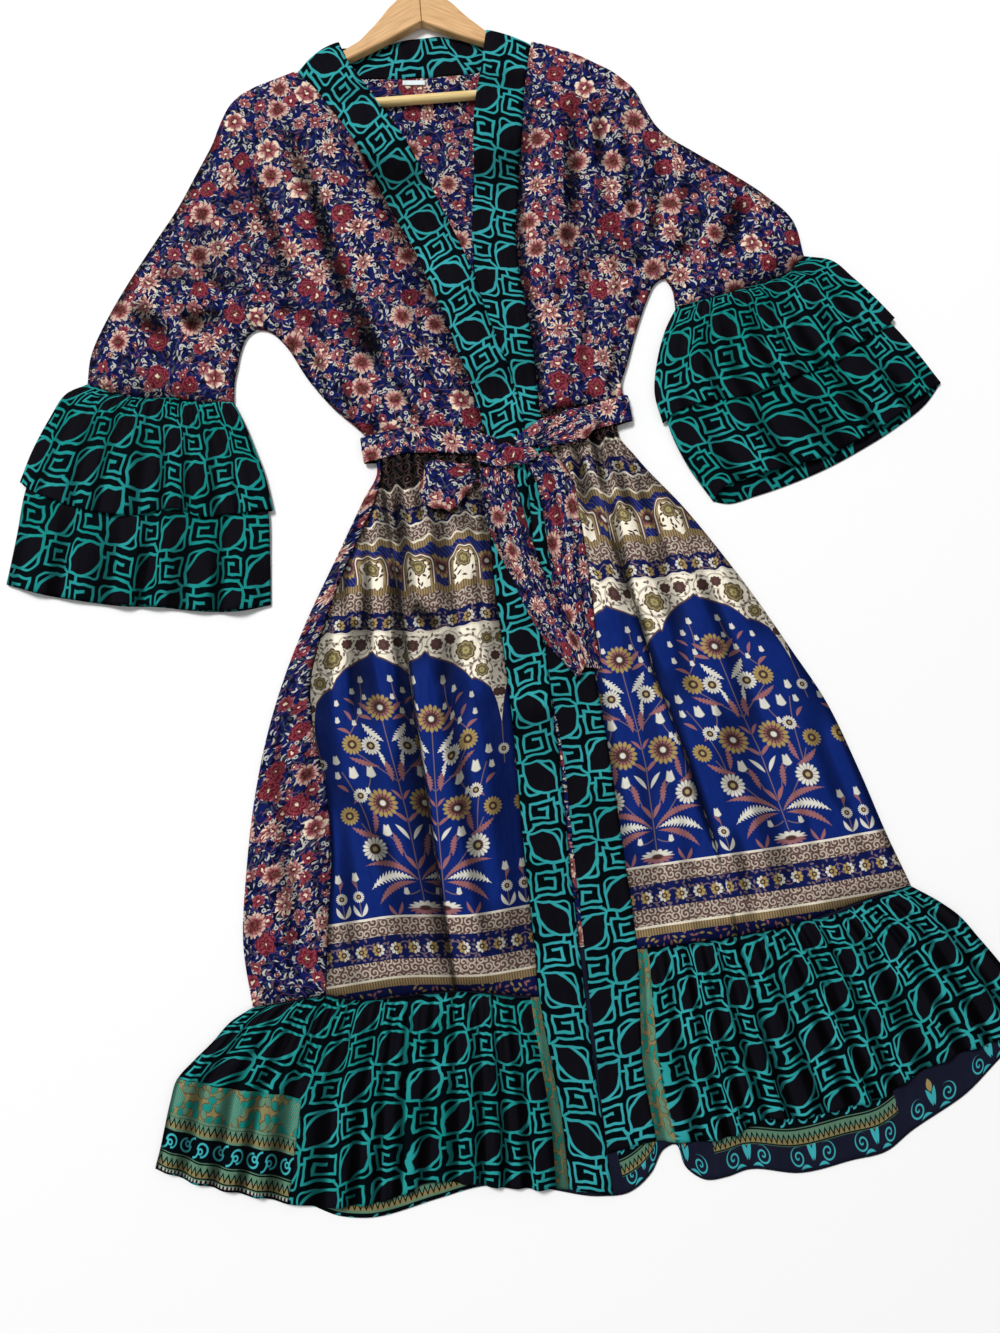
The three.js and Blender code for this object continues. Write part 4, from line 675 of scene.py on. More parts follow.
def pleat_shade(rows, x, y):
    """Painted shade on the line where a fold takes the cloth in: a bell across it."""
    rows = np.asarray(rows[::-1], float)
    fold = np.interp(y, rows[:, 0], rows[:, 2])
    return PLEAT_SHADE["tone"] * np.exp(-((x - fold) / PLEAT_SHADE["half_width"]) ** 2)


def gathered_rise(x, y, seed):
    """How far the gathers push the print up and down: two uneven waves, strongest at the waist."""
    broad = 3.2 * np.sin(x / 4.6 + 1.4 * np.sin(x / 17 + seed))
    return (broad + 1.6 * np.sin(x / 2.1 + seed)) * ease((y + 230) / 150)


def print_place(rows, x, y):
    """Distance along the print: from the first bush's middle left of the fold, from the second one's right
    of it."""
    rows = np.asarray(rows[::-1], float)
    first, fold, second = (np.interp(y, rows[:, 0], rows[:, column]) for column in (1, 2, 3))
    return mix(x - first, x - second + REPEAT, ease((x - fold) / 1.4 + 0.5))


def skirt_height(x, y, u, v, seed):
    """Height of a skirt front's upper side: the layer, the lift at the waist, soft folds, creases,
    gathers."""
    folds, near, broad = (panel_fade(u, v, SKIRT_FADES[kind]) for kind in ("folds", "creases", "swell"))
    above_it = SKIRT_RELIEF["gathered_above"]
    gather = SKIRT_RELIEF["gathers"] * ease((v - above_it) / (1 - above_it))
    gather = gather * uneven_waves(u, 9, 0.25, 9, seed)
    small = fold_height(SKIRT_CREASES, x, y) + gather + crumple(x, y, seed, *SKIRT_RELIEF["crumple"])
    return (FRONT_LEVEL + CLOTH + waist_lift(x, y) + SWELL * open_share(SKIRT_VALLEYS, x, y) * broad
            + SKIRT_RELIEF["folds"] * fold_height(SKIRT_FOLDS, x, y) * folds + small * near)


def shadow_under_belt(y):
    """Painted shadow where the gathers come out from under the belt, easing off below it."""
    return 0.7 * ease((y + 115) / 75)


# What a skirt front is sewn to: the waist seam lies this far below the band's own row
WAIST_SEAM = 0.7


def skirt_front_left(name):
    """The left front: from the side seam to the band's seam, foot to waist. The print sinks towards the band,
    and beside the fold by half a field more."""
    u, v = lattice(150, 130)
    side = smooth_curve(SIDE_SEAM_LEFT)
    ends = BAND_ENDS["left"]

    def start(t):
        return side(1 - np.asarray(t, float)) + np.array([SEAM_GAP, 0])
    end = seam_along(BAND_LEFT_OUTER, ends["ruffle_top"], ends["waist"] - WAIST_SEAM, -SEAM_GAP)
    sections = [ends_as(start), (-230, -519, -115, 24.3), (-180, -521.5, -90, 24.3), (-140, -525, -68, 24.3),
                (-100, -535, -46, 24.3), ends_as(end)]
    plan = panel_plan(sections, start, end)(u, v)
    x, y = plan[..., 0], plan[..., 1]
    beside_fold = ease((x + 142) / 4) * ease((-94 - x) / 20) * ease((-215 - y) / 40) * ease((y + 400) / 90)
    sink = 13 * ease((x + 210) / 110) + 12 * beside_fold
    uv = stacked(print_place(PRINT_LEFT, x, y), y + sink + gathered_rise(x, y, 1.0))
    # painted shade: a little over the whole left front, more as shadow under the belt and along the pleat
    painted_shade = 0.4 + shadow_under_belt(y) + pleat_shade(PRINT_LEFT, x, y)
    return cloth_piece(name, stacked(x, y, skirt_height(x, y, u, v, 3)), uv, painted_shade=painted_shade)


def skirt_front_right(name):
    """The right front: from the band's seam to the outer side, foot to waist."""
    u, v = lattice(150, 130)
    ends = BAND_ENDS["right"]
    start = seam_along(BAND_RIGHT_OUTER, ends["ruffle_top"], ends["waist"] - WAIST_SEAM, SEAM_GAP)
    end = smooth_curve([row[2:] for row in SKIRT_BACK[:0:-1]] + [(119, 28)])
    sections = [ends_as(start), (90, -518.5, 58, 36.3), (150, -519, 78, 35), (210, -515, 98, 32.6),
                (260, -506, 109, 30), ends_as(end)]
    plan = panel_plan(sections, start, end)(u, v)
    x, y = plan[..., 0], plan[..., 1]
    beside_fold = ease((82 - x) / 4) * ease((y + 190) / 40) * ease((30 - y) / 40)
    sink = 4 * ease((x - 40) / 200) - 5 - 5 * beside_fold
    uv = stacked(print_place(PRINT_RIGHT, x, y), y + sink + gathered_rise(x, y, 2.2))
    # painted shade: shadow under the belt and a lighter painted shade along the fold
    painted_shade = shadow_under_belt(y) + 0.7 * pleat_shade(PRINT_RIGHT, x, y)
    return cloth_piece(name, stacked(x, y, skirt_height(x, y, u, v, 5)), uv, painted_shade=painted_shade)


def skirt_back(name):
    """The back wraps round the left side: it lies flat under the fronts, turns up round a half circle at the
    left edge and comes forward to the side seam, with soft folds on the part that shows."""
    rows = np.asarray(SKIRT_BACK, float)
    run = distance_along(rows[:, :2])
    t = np.linspace(0, 1, 150)
    left, right = (smooth_curve(edge, run / run[-1])(t) for edge in (rows[:, :2], rows[:, 2:]))
    seam = smooth_curve(SIDE_SEAM_LEFT)(t)
    radius = (FRONT_LEVEL + CLOTH) / 2
    under = np.linspace(1, 0.012, 70)
    bend = np.linspace(0, np.pi, 9)[1:-1]
    over = np.linspace(0.02, 1, 34)
    lift = waist_lift(left[:, 0], left[:, 1])[:, None]
    flat = mix(left[:, None], right[:, None], under[None, :, None])
    low = stacked(flat[..., 0], flat[..., 1], lift)
    turn = stacked(left[:, :1] + radius * (1 - np.sin(bend)), left[:, 1:],
                   lift + radius * (1 - np.cos(bend)))
    front = mix(left[:, None], seam[:, None], over[None, :, None])
    fx, fy = front[..., 0], front[..., 1]
    edge = fades(over, 0.2, 0.12)[None, :] * fades(t, 0.03, 0.03)[:, None]
    top = lift + 2 * radius + (fold_height(SIDE_FOLDS, fx, fy) + crumple(fx, fy, 17, 11, 1.3)) * edge
    outer = np.concatenate([low, turn, stacked(fx, fy, top)], 1)
    edge_uv = np.broadcast_to(left[:, None], (*turn.shape[:2], 2))
    uv = np.concatenate([flat, edge_uv, 2 * left[:, None] - front], 1)
    return cloth_piece(name, outer, uv * np.array([-1, 1]) + 700, inward=(0, 0, 1))


# Ruffles

def gather_height(gathers, u, v):
    """Waves along the seam whose phase drifts, uneven in size, small at the seam and full at the hem, and
    fine puckers that fade from the seam."""
    waves, seed = gathers["waves"], gathers["seed"]
    phase = waves * u + 0.28 * np.sin(7.3 * u + seed) + 0.17 * np.sin(19 * u + 2 * seed)
    fall = mix(0.35, 1, ease(1 - v)) * ease((1 - v) / 0.06)
    puckers = 1.7 * uneven_waves(u, 2.6 * waves, 0.4, 23) * ease((v - 0.3) / 0.6) * ease((1 - v) / 0.04)
    return (gathers["rise"] * sized_waves(phase, seed, 0.44) * fall + puckers) * fades(u, 0.03, 0.03)


def ruffle_seam(edge, side, shift):
    """The ruffle's edge beside its band."""
    return seam_along(edge, BAND_ENDS[side]["foot"], BAND_ENDS[side]["ruffle_top"] - WAIST_SEAM, shift)


SEAMS = {"left": ruffle_seam(BAND_LEFT_OUTER, "left", -SEAM_GAP),
         "right": ruffle_seam(BAND_RIGHT_OUTER, "right", SEAM_GAP)}
RUFFLE_PLANS = {"left": panel_plan(RUFFLE_LEFT, RUFFLE_LEFT_SIDE[::-1], SEAMS["left"], 2),
                "right": panel_plan(RUFFLE_RIGHT, SEAMS["right"], RUFFLE_RIGHT_END, 2)}


def ruffle_surface(side, gathers, u, v):
    """Upper side of a front ruffle: its plan, with each gather leaning a little sideways, and the gathers'
    height."""
    plan = RUFFLE_PLANS[side](u, v)
    height = gather_height(gathers, u, v)
    x, y = plan[..., 0] + 0.5 * height * np.sin(30 * u + gathers["seed"]) * (1 - v), plan[..., 1]
    uneven = crumple(plan[..., 0], y, 23, 9, 0.6) * ease((1 - v) / 0.05)
    return stacked(x, y, FRONT_LEVEL + CLOTH + height + uneven)


def ruffle_front(name, side, gathers, length, offset):
    """A gathered ruffle; its uv is the strip of cloth that was gathered, and slow sines pull its print
    about."""
    u, v = lattice(260, 56)
    seed = gathers["seed"]
    free = ease(u / 0.1) * ease((0.9 - u) / 0.12)
    aside = 7 * np.sin(13 * u + seed) + 11 * (1 - v) * np.sin(6.1 * u + seed) + 2.6 * np.sin(57 * u + 3 * v)
    up = 6 * np.sin(17 * u + 2 * seed)
    uv = stacked(u * length + offset + free * aside, v * RUFFLE_DEPTH + free * up)
    return cloth_piece(name, ruffle_surface(side, gathers, u, v), uv)


def border_patch(name):
    """The patch lies on the left ruffle's outer end: the ruffle's own surface, moved up."""
    s, t = lattice(84, 30)
    grid = ruffle_surface("left", GATHERS_LEFT, s * 18 / 56, mix(0.012, 0.47, t)) + np.array([0, 0, 1.1])
    return cloth_piece(name, grid, stacked(s * 150, t * 82), 0.7)


def ruffle_back(name):
    """The back ruffle lies nearly flat, with shallow waves where its hem shows."""
    u, v = lattice(320, 50)
    plan = panel_plan(RUFFLE_BACK, RUFFLE_LEFT_SIDE[::-1], RUFFLE_RIGHT_SIDE[::-1], 3)(u, v)
    wave = 0.25 * (0.5 - 0.5 * np.cos(2 * np.pi * 17 * u)) * ease((0.2 - v) / 0.2)
    return cloth_piece(name, stacked(plan[..., 0], plan[..., 1] - 0.3, CLOTH + wave),
                       stacked(u * 1030, v * 220))


# Cuffs

# The upper tier holds the lower one inside it; the lower one settles on the surface beyond it
TIER_GAP = 0.4
UPPER = {"height": 4 * CLOTH + 3 * TIER_GAP, "lift": 0, "settle_from": 0.55, "settle": 0.4}
LOWER = {"height": 2 * CLOTH + TIER_GAP, "lift": CLOTH + TIER_GAP, "settle_from": 0.55, "settle": 0.4}

CUFFS = {
    "cuff_upper_left": {
        "rows": [(-428, 143.4, -279, 98.4), (-450, 137, -271, 74), (-470, 113, -264, 45),
                 (-490, 83, -258, 18), (-507, 50, -254, -22)],
        "seam": [(x, y - 1.6) for x, y in CUFF_SEAM_LEFT[::-1]],
        "hem": [(-507, 50), (-498, 40), (-480, 28), (-450, 12), (-420, 0), (-400, -5), (-345, -8),
                (-330, -18), (-300, -21), (-254, -22)],
        "upper": True, "waves": 9, "rise": 4, "seed": 0.6, "from": 0.1, "length": 300, "depth": 118},
    "cuff_lower_left": {
        "rows": [(-421, 137.5, -285, 96.5), (-460, 107, -271, 45), (-500, 46, -259.5, -20),
                 (-516, -5, -264, -70), (-532, -55, -270, -120)],
        "seam": [(-421, 137.5), (-398, 126), (-360, 115), (-340, 111.5), (-320, 105), (-285, 96.5)],
        "hem": [(-532, -55), (-500, -70), (-460, -84), (-420, -96), (-380, -104), (-352, -112), (-300, -121),
                (-270, -120)],
        "upper": False, "waves": 6, "rise": 6, "seed": 2.2, "from": 0.5, "length": 290, "depth": 208},
    "cuff_upper_right": {
        "rows": [(345, 162.1, 198, 127.1), (372, 153, 183, 106), (391, 130, 168, 74), (408, 106, 158, 38),
                 (425, 78, 160, 4)],
        "seam": [(x, y - 0.9) for x, y in CUFF_SEAM_RIGHT[::-1]],
        "hem": [(425, 78), (418, 72), (380, 55), (345, 37), (300, 28), (260, 18), (200, 17), (175, 12),
                (160, 4)],
        "upper": True, "waves": 9, "rise": 4, "seed": 3.4, "from": 0.1, "length": 300, "depth": 118},
    "cuff_lower_right": {
        "rows": [(339, 155, 204.5, 123.5), (385, 124, 175, 70), (418, 76, 165, 6), (440, 38, 176, -42),
                 (458, 0, 196, -87)],
        "seam": [(339, 155), (318, 141), (300, 136.5), (270, 132.5), (240, 128.5), (204.5, 123.5)],
        "hem": [(458, 0), (438, -9), (400, -31), (360, -47), (320, -60), (280, -65), (240, -69), (212, -74),
                (196, -87)],
        "back_hem": [(458, 0), (440, -18), (400, -41), (360, -58), (320, -72), (280, -82), (240, -89),
                     (210, -92), (196, -87)],
        "upper": False, "waves": 6, "rise": 6, "seed": 5.1, "from": 0.5, "length": 290, "depth": 208},
}


def cuff(name):
    """A flattened tube from seam to hem. Round it, the upper layer goes from side to side and the lower one
    back, joined by half circles; the upper layer has gathers that spread towards the hem."""
    row = CUFFS[name]
    tier, seed = (UPPER if row["upper"] else LOWER), row["seed"]
    turns = np.array([0.004, 0.012])
    over = np.sort(np.r_[np.linspace(0, 1, 96), turns, 1 - turns])
    u = np.linspace(0, 1, 70)[:, None]
    is_over = np.r_[np.ones(len(over), bool), np.zeros(len(over) - 2, bool)][None, :]
    s = np.r_[over, over[-2:0:-1]][None, :] + 0 * u
    fronts = panel_plan(row["rows"], row["seam"], row["hem"], 2)(u + 0 * s, s)
    backs = panel_plan(row["rows"], row["seam"], row.get("back_hem", row["hem"]), 2)(u + 0 * s, s)
    plan = np.where(is_over[..., None], fronts, backs)
    x, y = plan[..., 0], plan[..., 1]
    base = tier["lift"] * (1 - ease((u - tier["settle_from"]) / tier["settle"]))
    half = tier["height"] / 2
    near = np.clip(np.minimum(s, 1 - s) / 0.02, 0, 1)
    bulge = np.sqrt(np.clip(1 - (1 - near) ** 2, 0, 1))
    sides = fades(s, 0.12, 0.12)
    spread = ease((u - row["from"]) / (1 - row["from"]))
    phase = row["waves"] * s + 0.17 * np.sin(7.3 * s + seed) + 0.1 * np.sin(21 * s + seed)
    relief = row["rise"] * sized_waves(phase, seed, 0.45) * sides * spread
    relief = relief + crumple(x, y, int(10 * seed), 10, 1.0) * sides * ease(u / 0.1)
    if row["upper"]:
        near_seam = ease((0.5 - u) / 0.4) * ease(u / 0.03)
        relief = relief + 1.5 * uneven_waves(s, 24, 0.5, 17, seed) * near_seam * sides
    z = base + half + np.where(is_over, half * bulge + relief, -half * bulge)
    aside = sides * (4 * np.sin(19 * s + seed) + 6 * u * np.sin(7 * s + seed))
    uv = stacked(np.where(is_over, s, 2 - s) * row["length"] + 40 * seed + aside,
                 (1 - u) * row["depth"] + 4 * sides * np.sin(11 * s + seed))
    return cloth_piece(name + "_cloth", stacked(x, y, z), uv, closed=True, inward=(0, 0, 1))


# Belt

BELT_SIDE = [(-2, 26, 0), (1.6, 27, 1.6), (2.4, 28, 4), (-0.5, 28, FRONT_LEVEL + BELT_LIFT + CLOTH + 2.2)]
# x, y, width, height of the underside
BELT_ROUND = (
    [(-14, 6, 16, BELT_TOP), (-48, 17, 30, BELT_TOP), (-80, 24, 30, BELT_TOP - 0.4),
     (-110, 28, 28, BELT_TOP - 1.2)]
    + [(-151 - out, 25, width, z) for out, width, z in BELT_SIDE[::-1]]
    + [(-60, 15, 34, 0), (40, 15, 34, 0)]
    + [(127 + out, 25, width, z) for out, width, z in BELT_SIDE]
    + [(100, 22, 28, BELT_TOP - 1.2), (70, 18, 28, BELT_TOP - 0.4), (34, 14, 26, BELT_TOP),
       (4, 4, 16, BELT_TOP)])


def belt_wrap(name):
    """The belt's run round the waist: a strip whose path goes round the body in the x and z directions, with
    lengthwise creases on its front stretch."""
    rows = np.asarray(BELT_ROUND, float)
    run = distance_along(rows[:, [0, 3]])
    t = np.linspace(0, run[-1], 260)
    x, y, width, z = (np.interp(t, run, rows[:, k])[:, None] for k in (0, 1, 2, 3))
    s = np.linspace(0, 1, 19)[None, :]
    ahead = unit(np.gradient(np.concatenate([x, z], 1), axis=0))
    nx, nz = ahead[:, 1:], -ahead[:, :1]
    is_front = (z > FRONT_LEVEL + BELT_LIFT + CLOTH).astype(float)
    crease = 0.8 * np.sin(2 * np.pi * (2.4 * s + 0.004 * x + 0.2 * np.sin(0.05 * x))) * is_front
    roll = 1.3 * np.sin(np.pi * s) ** 0.6 * is_front
    off = BELT_CLOTH / 2 + 0.4 * crease + roll
    outer = stacked(x + nx * off, y + (s - 0.5) * width, z + BELT_CLOTH / 2 + nz * off)
    return cloth_piece(name, outer, stacked(t[:, None], s * width))


# The way round a loop: how far out towards its tip, share of its rise, and where on the way
LOOP_ROUND = [(0, 0.15, 0), (0.35, 0.02, 0.17), (0.7, 0.0, 0.33), (0.92, 0.1, 0.44), (1, 0.48, 0.5),
              (0.93, 0.88, 0.56), (0.7, 1.0, 0.67), (0.35, 0.95, 0.83), (0, 0.7, 1)]


def belt_loop(name, root, tip, root_width, width, under, rise, lean, seed):
    """A bow loop: the strip leaves the knot along the lower layer, turns round the tip and comes back on top.
    It widens from the knot, its tip is round, and pleats run out of the knot and fade."""
    t = np.linspace(0, 1, 120)[:, None]
    s = np.linspace(0, 1, 27)[None, :]
    profile = smooth_curve([row[:2] for row in LOOP_ROUND], [row[2] for row in LOOP_ROUND])
    f, level = profile(t)[..., 0], profile(t)[..., 1]
    axis = np.array(tip, float) - np.array(root, float)
    length = np.linalg.norm(axis)
    ax, ay = axis / length
    spread = mix(root_width, width, ease(f / 0.62)) * mix(1, 0.62, ease((f - 0.75) / 0.25))
    aside = (s - 0.5 + lean * f * (1 - f)) * spread
    along = f * length - 9 * (2 * s - 1) ** 2 * ease((f - 0.4) / 0.6)
    is_top = t > 0.5
    pleat = np.sin(2 * np.pi * (3.2 * s + 0.15 * np.sin(5 * f + seed))) * ease((0.95 - f) / 0.8)
    crown = np.where(is_top, 1.4, 0.2) * np.sin(np.pi * s) ** 0.7 * np.sin(np.pi * f)
    z = under + BELT_CLOTH / 2 + level * rise + 0.7 * pleat * np.where(is_top, 1, 0.3) + crown
    outer = stacked(root[0] + ax * along - ay * aside, root[1] + ay * along + ax * aside, z)
    return cloth_piece(name, outer, stacked(t * 2.2 * length + 90 * seed, s * 62), inward=(0, 0, 1))


def belt_tail(name, rows, creases, seed):
    """A tail: a strip along a path of rows, each with its middle, width and height, with lengthwise creases
    and an end cut on the slant."""
    rows = np.asarray(rows, float)
    run = distance_along(rows[:, :2])
    t = np.linspace(0, 1, 130)[:, None]
    x, y, width, under = np.split(smooth_curve(rows, run / run[-1])(t[:, 0]), 4, axis=1)
    ahead_x, ahead_y = np.split(unit(np.gradient(np.concatenate([x, y], 1), axis=0)), 2, axis=1)
    s = np.linspace(0, 1, 25)[None, :]
    aside = (s - 0.5) * width
    slant = 9 * (s - 0.5) * ease((t - 0.86) / 0.14) * np.sign(seed)
    fold = sum(rise * np.exp(-((s - place - drift * t) / wide) ** 2) for place, drift, wide, rise in creases)
    z = under + BELT_CLOTH + fold * ease((1 - t) / 0.08) + 0.3 * np.sin(np.pi * s)
    outer = stacked(x - ahead_y * aside + ahead_x * slant, y + ahead_x * aside + ahead_y * slant, z)
    return cloth_piece(name, outer, stacked(run[-1] * t + 60 * abs(seed), s * 58))


# middle x, middle y, width, height of the underside
TAIL_RIGHT = [(22, -14, 26, BELT_TOP + 0.4), (35, -34, 35, TAIL_LEVEL + 1.6),
              (38.5, -80, 37, TAIL_LEVEL + 0.2), (37, -120, 38, TAIL_LEVEL), (35, -160, 39, TAIL_LEVEL),
              (33, -200, 37, TAIL_LEVEL), (39, -238, 20, TAIL_LEVEL)]
TAIL_LEFT = [(-20, -16, 34, BELT_TOP + 0.4), (-20, -52, 39, TAIL_LEVEL + 1.4),
             (-16, -92, 38, TAIL_LEVEL + 0.4), (-8, -128, 33, TAIL_LEVEL + 1.2),
             (2, -165, 33, TAIL_LEVEL + 2.4), (14, -200, 31, TAIL_LEVEL + 2.4),
             (31, -240, 16, TAIL_LEVEL + 2.4)]
# place across, drift along, width, rise
CREASES_RIGHT = [(0.22, 0.1, 0.09, 1.5), (0.62, -0.15, 0.12, 1.3), (0.85, 0.05, 0.07, 0.9)]
CREASES_LEFT = [(0.3, 0.12, 0.1, 1.5), (0.7, -0.1, 0.1, 1.4), (0.5, 0.25, 0.06, 0.8)]
KNOT = {"centre": (-7, -8), "half": (31, 12.5, 4.6), "turn": -6}


def belt_knot(name):
    """The knot: a barrel of wound cloth lying on its side, with slanting ridges where the cloth passes
    round."""
    u, w = np.meshgrid(np.linspace(0, 1, 60), np.linspace(0, 2 * np.pi, 64, endpoint=False), indexing="ij")
    body = np.clip(np.sin(np.pi * mix(0.02, 0.98, u)), 0, 1) ** 0.55
    ridge = 1 + 0.1 * np.sin(3 * w + 14 * u) * body + 0.06 * np.sin(5 * w - 23 * u)
    girth = body * ridge * (1 - 0.22 * np.exp(-((u - 0.62) / 0.09) ** 2))
    hx, hy, hz = KNOT["half"]
    x, y = turned((u - 0.5) * 2 * hx, hy * girth * np.cos(w), KNOT["turn"])
    z = BELT_TOP + BELT_CLOTH + 0.3 + hz * (1 + girth * np.sin(w))
    outer = stacked(x + KNOT["centre"][0], y + KNOT["centre"][1], z)
    return cloth_piece(name, outer, stacked(u * 62 + 210, w * 12), closed=True, inward=(0, -1, 0))


# Label and hanger

LABEL = {"width": 25, "depth": 6, "centre": (-36, 436), "turn": -9}


def neck_label(name):
    """A small ribbon label, sewn at its ends: a flat strip with a slight crown."""
    u, v = lattice(26, 10)
    width, depth = LABEL["width"], LABEL["depth"]
    x, y = turned((u - 0.5) * width, (v - 0.5) * depth, LABEL["turn"])
    outer = stacked(x + LABEL["centre"][0], y + LABEL["centre"][1], CLOTH + 0.95 + 0.25 * np.sin(np.pi * v))
    return cloth_piece(name, outer, stacked(u * width, v * depth), 0.45)


# A hanger's arm, from the middle out along its lower edge and back along its upper one
ARM_OUTLINE = [(0.15, 0), (40, -20), (85, -40), (120, -54.5), (150, -69), (173, -80.5), (182, -84.5),
               (182, -98), (194, -98), (197, -90), (194, -80.5), (180, -71.5), (150, -56), (120, -42),
               (91, -29), (70, -17), (49, 4), (36, 20), (24, 31), (20, 42), (12, 48), (0.15, 48)]
ARM_ROUND = 2.6


def hanger_arm(name, side):
    """A board cut to the arm's outline, its edges rounded: rings of the outline step in as they rise, after a
    quarter circle, and flat faces close it above and below."""
    corners = np.asarray(ARM_OUTLINE, float)
    stretches = []
    for p, q in zip(corners, np.roll(corners, -1, axis=0)):
        count = max(2, int(np.linalg.norm(q - p) / 1.6))
        stretches.append(mix(p, q, np.linspace(0, 1, count, endpoint=False)[:, None]))
    outline = np.concatenate(stretches)
    fixed = outline[:, :1] < 0.2
    for _ in range(5):
        smoothed = (np.roll(outline, 1, 0) + 2 * outline + np.roll(outline, -1, 0)) / 4
        outline = np.where(fixed, outline, smoothed)
    ahead = np.roll(outline, -1, 0) - np.roll(outline, 1, 0)
    normal = np.where(fixed, (1, 0), unit(stacked(-ahead[:, 1], ahead[:, 0])))
    reach = np.where(fixed, 0.25, 1.0)
    angles = np.linspace(0, np.pi / 2, 6)
    insets = ARM_ROUND * (1 - np.sin(angles))
    rises = ARM_ROUND * (1 - np.cos(angles))
    flat = np.concatenate([outline + normal * inset * reach for inset in (*insets, *insets[::-1])])
    heights = np.repeat(np.r_[rises, HANGER["thickness"] - rises[::-1]], len(outline)) + FRONT_LEVEL
    uv = stacked(flat[:, 0] * 0.9 - flat[:, 1] * 0.43, flat[:, 0] * 0.43 + flat[:, 1] * 0.9)
    points = np.concatenate([from_hanger(flat * np.array([side, 1])), heights[:, None]], 1)
    rings = 2 * len(angles)
    quads, caps = grid_quads(rings, len(outline), True), end_caps(rings, len(outline))
    if side < 0:
        quads, caps = quads[:, ::-1], [cap[::-1] for cap in caps]
    return put_mesh(name, points, quads, uv, caps)


def round_rod(name, path, radius, sides, rounding):
    """A round rod along a path of points: circles across the path, drawn in at both ends, closed by small
    discs."""
    ahead = unit(np.gradient(path, axis=0))
    aside = unit(np.cross(ahead, np.array([0, 0, 1.0])))
    up = np.cross(aside, ahead)
    run = distance_along(path)
    near = np.clip(np.minimum(run, run[-1] - run) / rounding, 0, 1)
    size = (radius * np.sqrt(np.clip(1 - (1 - near) ** 2, 0.02, 1)))[:, None, None]
    w = np.linspace(0, 2 * np.pi, sides, endpoint=False)[None, :, None]
    points = (path[:, None] + size * (np.cos(w) * aside[:, None] + np.sin(w) * up[:, None])).reshape(-1, 3)
    quads, caps = grid_quads(len(path), sides, True), end_caps(len(path), sides)
    if points_inward(points, quads):
        quads, caps = quads[:, ::-1], [cap[::-1] for cap in caps]
    uv = stacked(run[:, None], w[0, :, 0] * radius).reshape(-1, 2)
    return put_mesh(name, points, quads, uv, caps)


def on_hanger(flat, height):
    """A path of x, y in the hanger's frame, at one height above the layer that the hanger lies on."""
    return np.concatenate([from_hanger(flat), np.full((len(flat), 1), FRONT_LEVEL + height)], 1)


def hanger_bar(name):
    """The round bar between the arms' ends, with closer steps where its ends are rounded."""
    ends = HANGER["bar_end"] - np.array([0, 0.6, 1.4])
    run = np.r_[-ends, np.linspace(2.6 - HANGER["bar_end"], HANGER["bar_end"] - 2.6, 60), ends[::-1]]
    path = on_hanger(stacked(run, HANGER["bar_y"]), HANGER["bar_radius"])
    return round_rod(name, path, HANGER["bar_radius"], 28, 1.5)


# The hook: the stem's points, the circle's middle and radius, and the angles at which its turn starts and
# ends
HOOK = {"stem": [(0, 48.4), (0, 56), (0, 63)], "middle": 98, "radius": 26, "turn": (-62, 200)}


def hanger_hook(name):
    """The wire hook: a stem out of the neck, then most of a circle."""
    angle = np.radians(np.linspace(*HOOK["turn"], 15))
    arc = list(zip(HOOK["radius"] * np.cos(angle), HOOK["middle"] + HOOK["radius"] * np.sin(angle)))
    path = on_hanger(smooth_curve(HOOK["stem"] + arc)(np.linspace(0, 1, 130)), HANGER["thickness"] / 2)
    return round_rod(name, path, HANGER["wire_radius"], 14, 2)


# Colours and prints

def srgb(red, green, blue):
    """A colour given as 0 to 255 on screen, turned into the linear light that shaders use."""
    value = np.array([red, green, blue]) / 255
    linear = np.where(value <= 0.04045, value / 12.92, ((value + 0.055) / 1.055) ** 2.4)
    return (*linear, 1.0)


class Field:
    """A number or a point over the cloth, kept as a shader socket, so that a formula reads as arithmetic."""

    def __init__(self, tree, socket):
        self.tree = tree
        self.socket = socket

    def __add__(self, other):
        return worked("ADD", self, other)

    def __radd__(self, other):
        return worked("ADD", other, self)

    def __sub__(self, other):
        return worked("SUBTRACT", self, other)

    def __rsub__(self, other):
        return worked("SUBTRACT", other, self)

    def __mul__(self, other):
        return worked("MULTIPLY", self, other)

    def __rmul__(self, other):
        return worked("MULTIPLY", other, self)

    def __abs__(self):
        return worked("ABSOLUTE", self)


def feed(tree, socket, value):
    """Joins a field to a socket, or sets a plain number, point or colour on it."""
    if isinstance(value, Field):
        tree.links.new(value.socket, socket)
    else:
        socket.default_value = value


def node_for(kind, inputs, output=0, **settings):
    """A shader node with its settings and inputs, as a field of one of its outputs."""
    tree = next(value.tree for value in inputs.values() if isinstance(value, Field))
    node = tree.nodes.new(kind)
    for setting, value in settings.items():
        setattr(node, setting, value)
    for key, value in inputs.items():
        feed(tree, node.inputs[key], value)
    return Field(tree, node.outputs[output])


def worked(operation, *values):
    """One step of arithmetic."""
    return node_for("ShaderNodeMath", dict(enumerate(values)), operation=operation)


def least(a, b):
    """The smaller of two."""
    return worked("MINIMUM", a, b)


def most(a, b):
    """The larger of two."""
    return worked("MAXIMUM", a, b)


def scaled_sum(a, factor, extra):
    """a times a factor, plus extra."""
    return worked("MULTIPLY_ADD", a, factor, extra)


def sine(a):
    """The sine of an angle."""
    return worked("SINE", a)


def wrapped(a, period):
    """The distance from the middle of its own repeat, from minus to plus half a period."""
    return worked("WRAP", a, period / 2, -period / 2)


def under(distance, soft=0.55):
    """Cover of what lies below distance 0, over a soft edge; it runs on above 1 and below 0, and paint cuts
    it."""
    return worked("MULTIPLY_ADD", distance, -1 / soft, 0.5)


def faint(cover, share):
    """A cover that never hides all of what is under it."""
    return node_for("ShaderNodeClamp", {0: cover, 1: 0.0, 2: share})


def beneath(a, limit):
    """1 where a is under the limit, else 0."""
    return worked("LESS_THAN", a, limit)


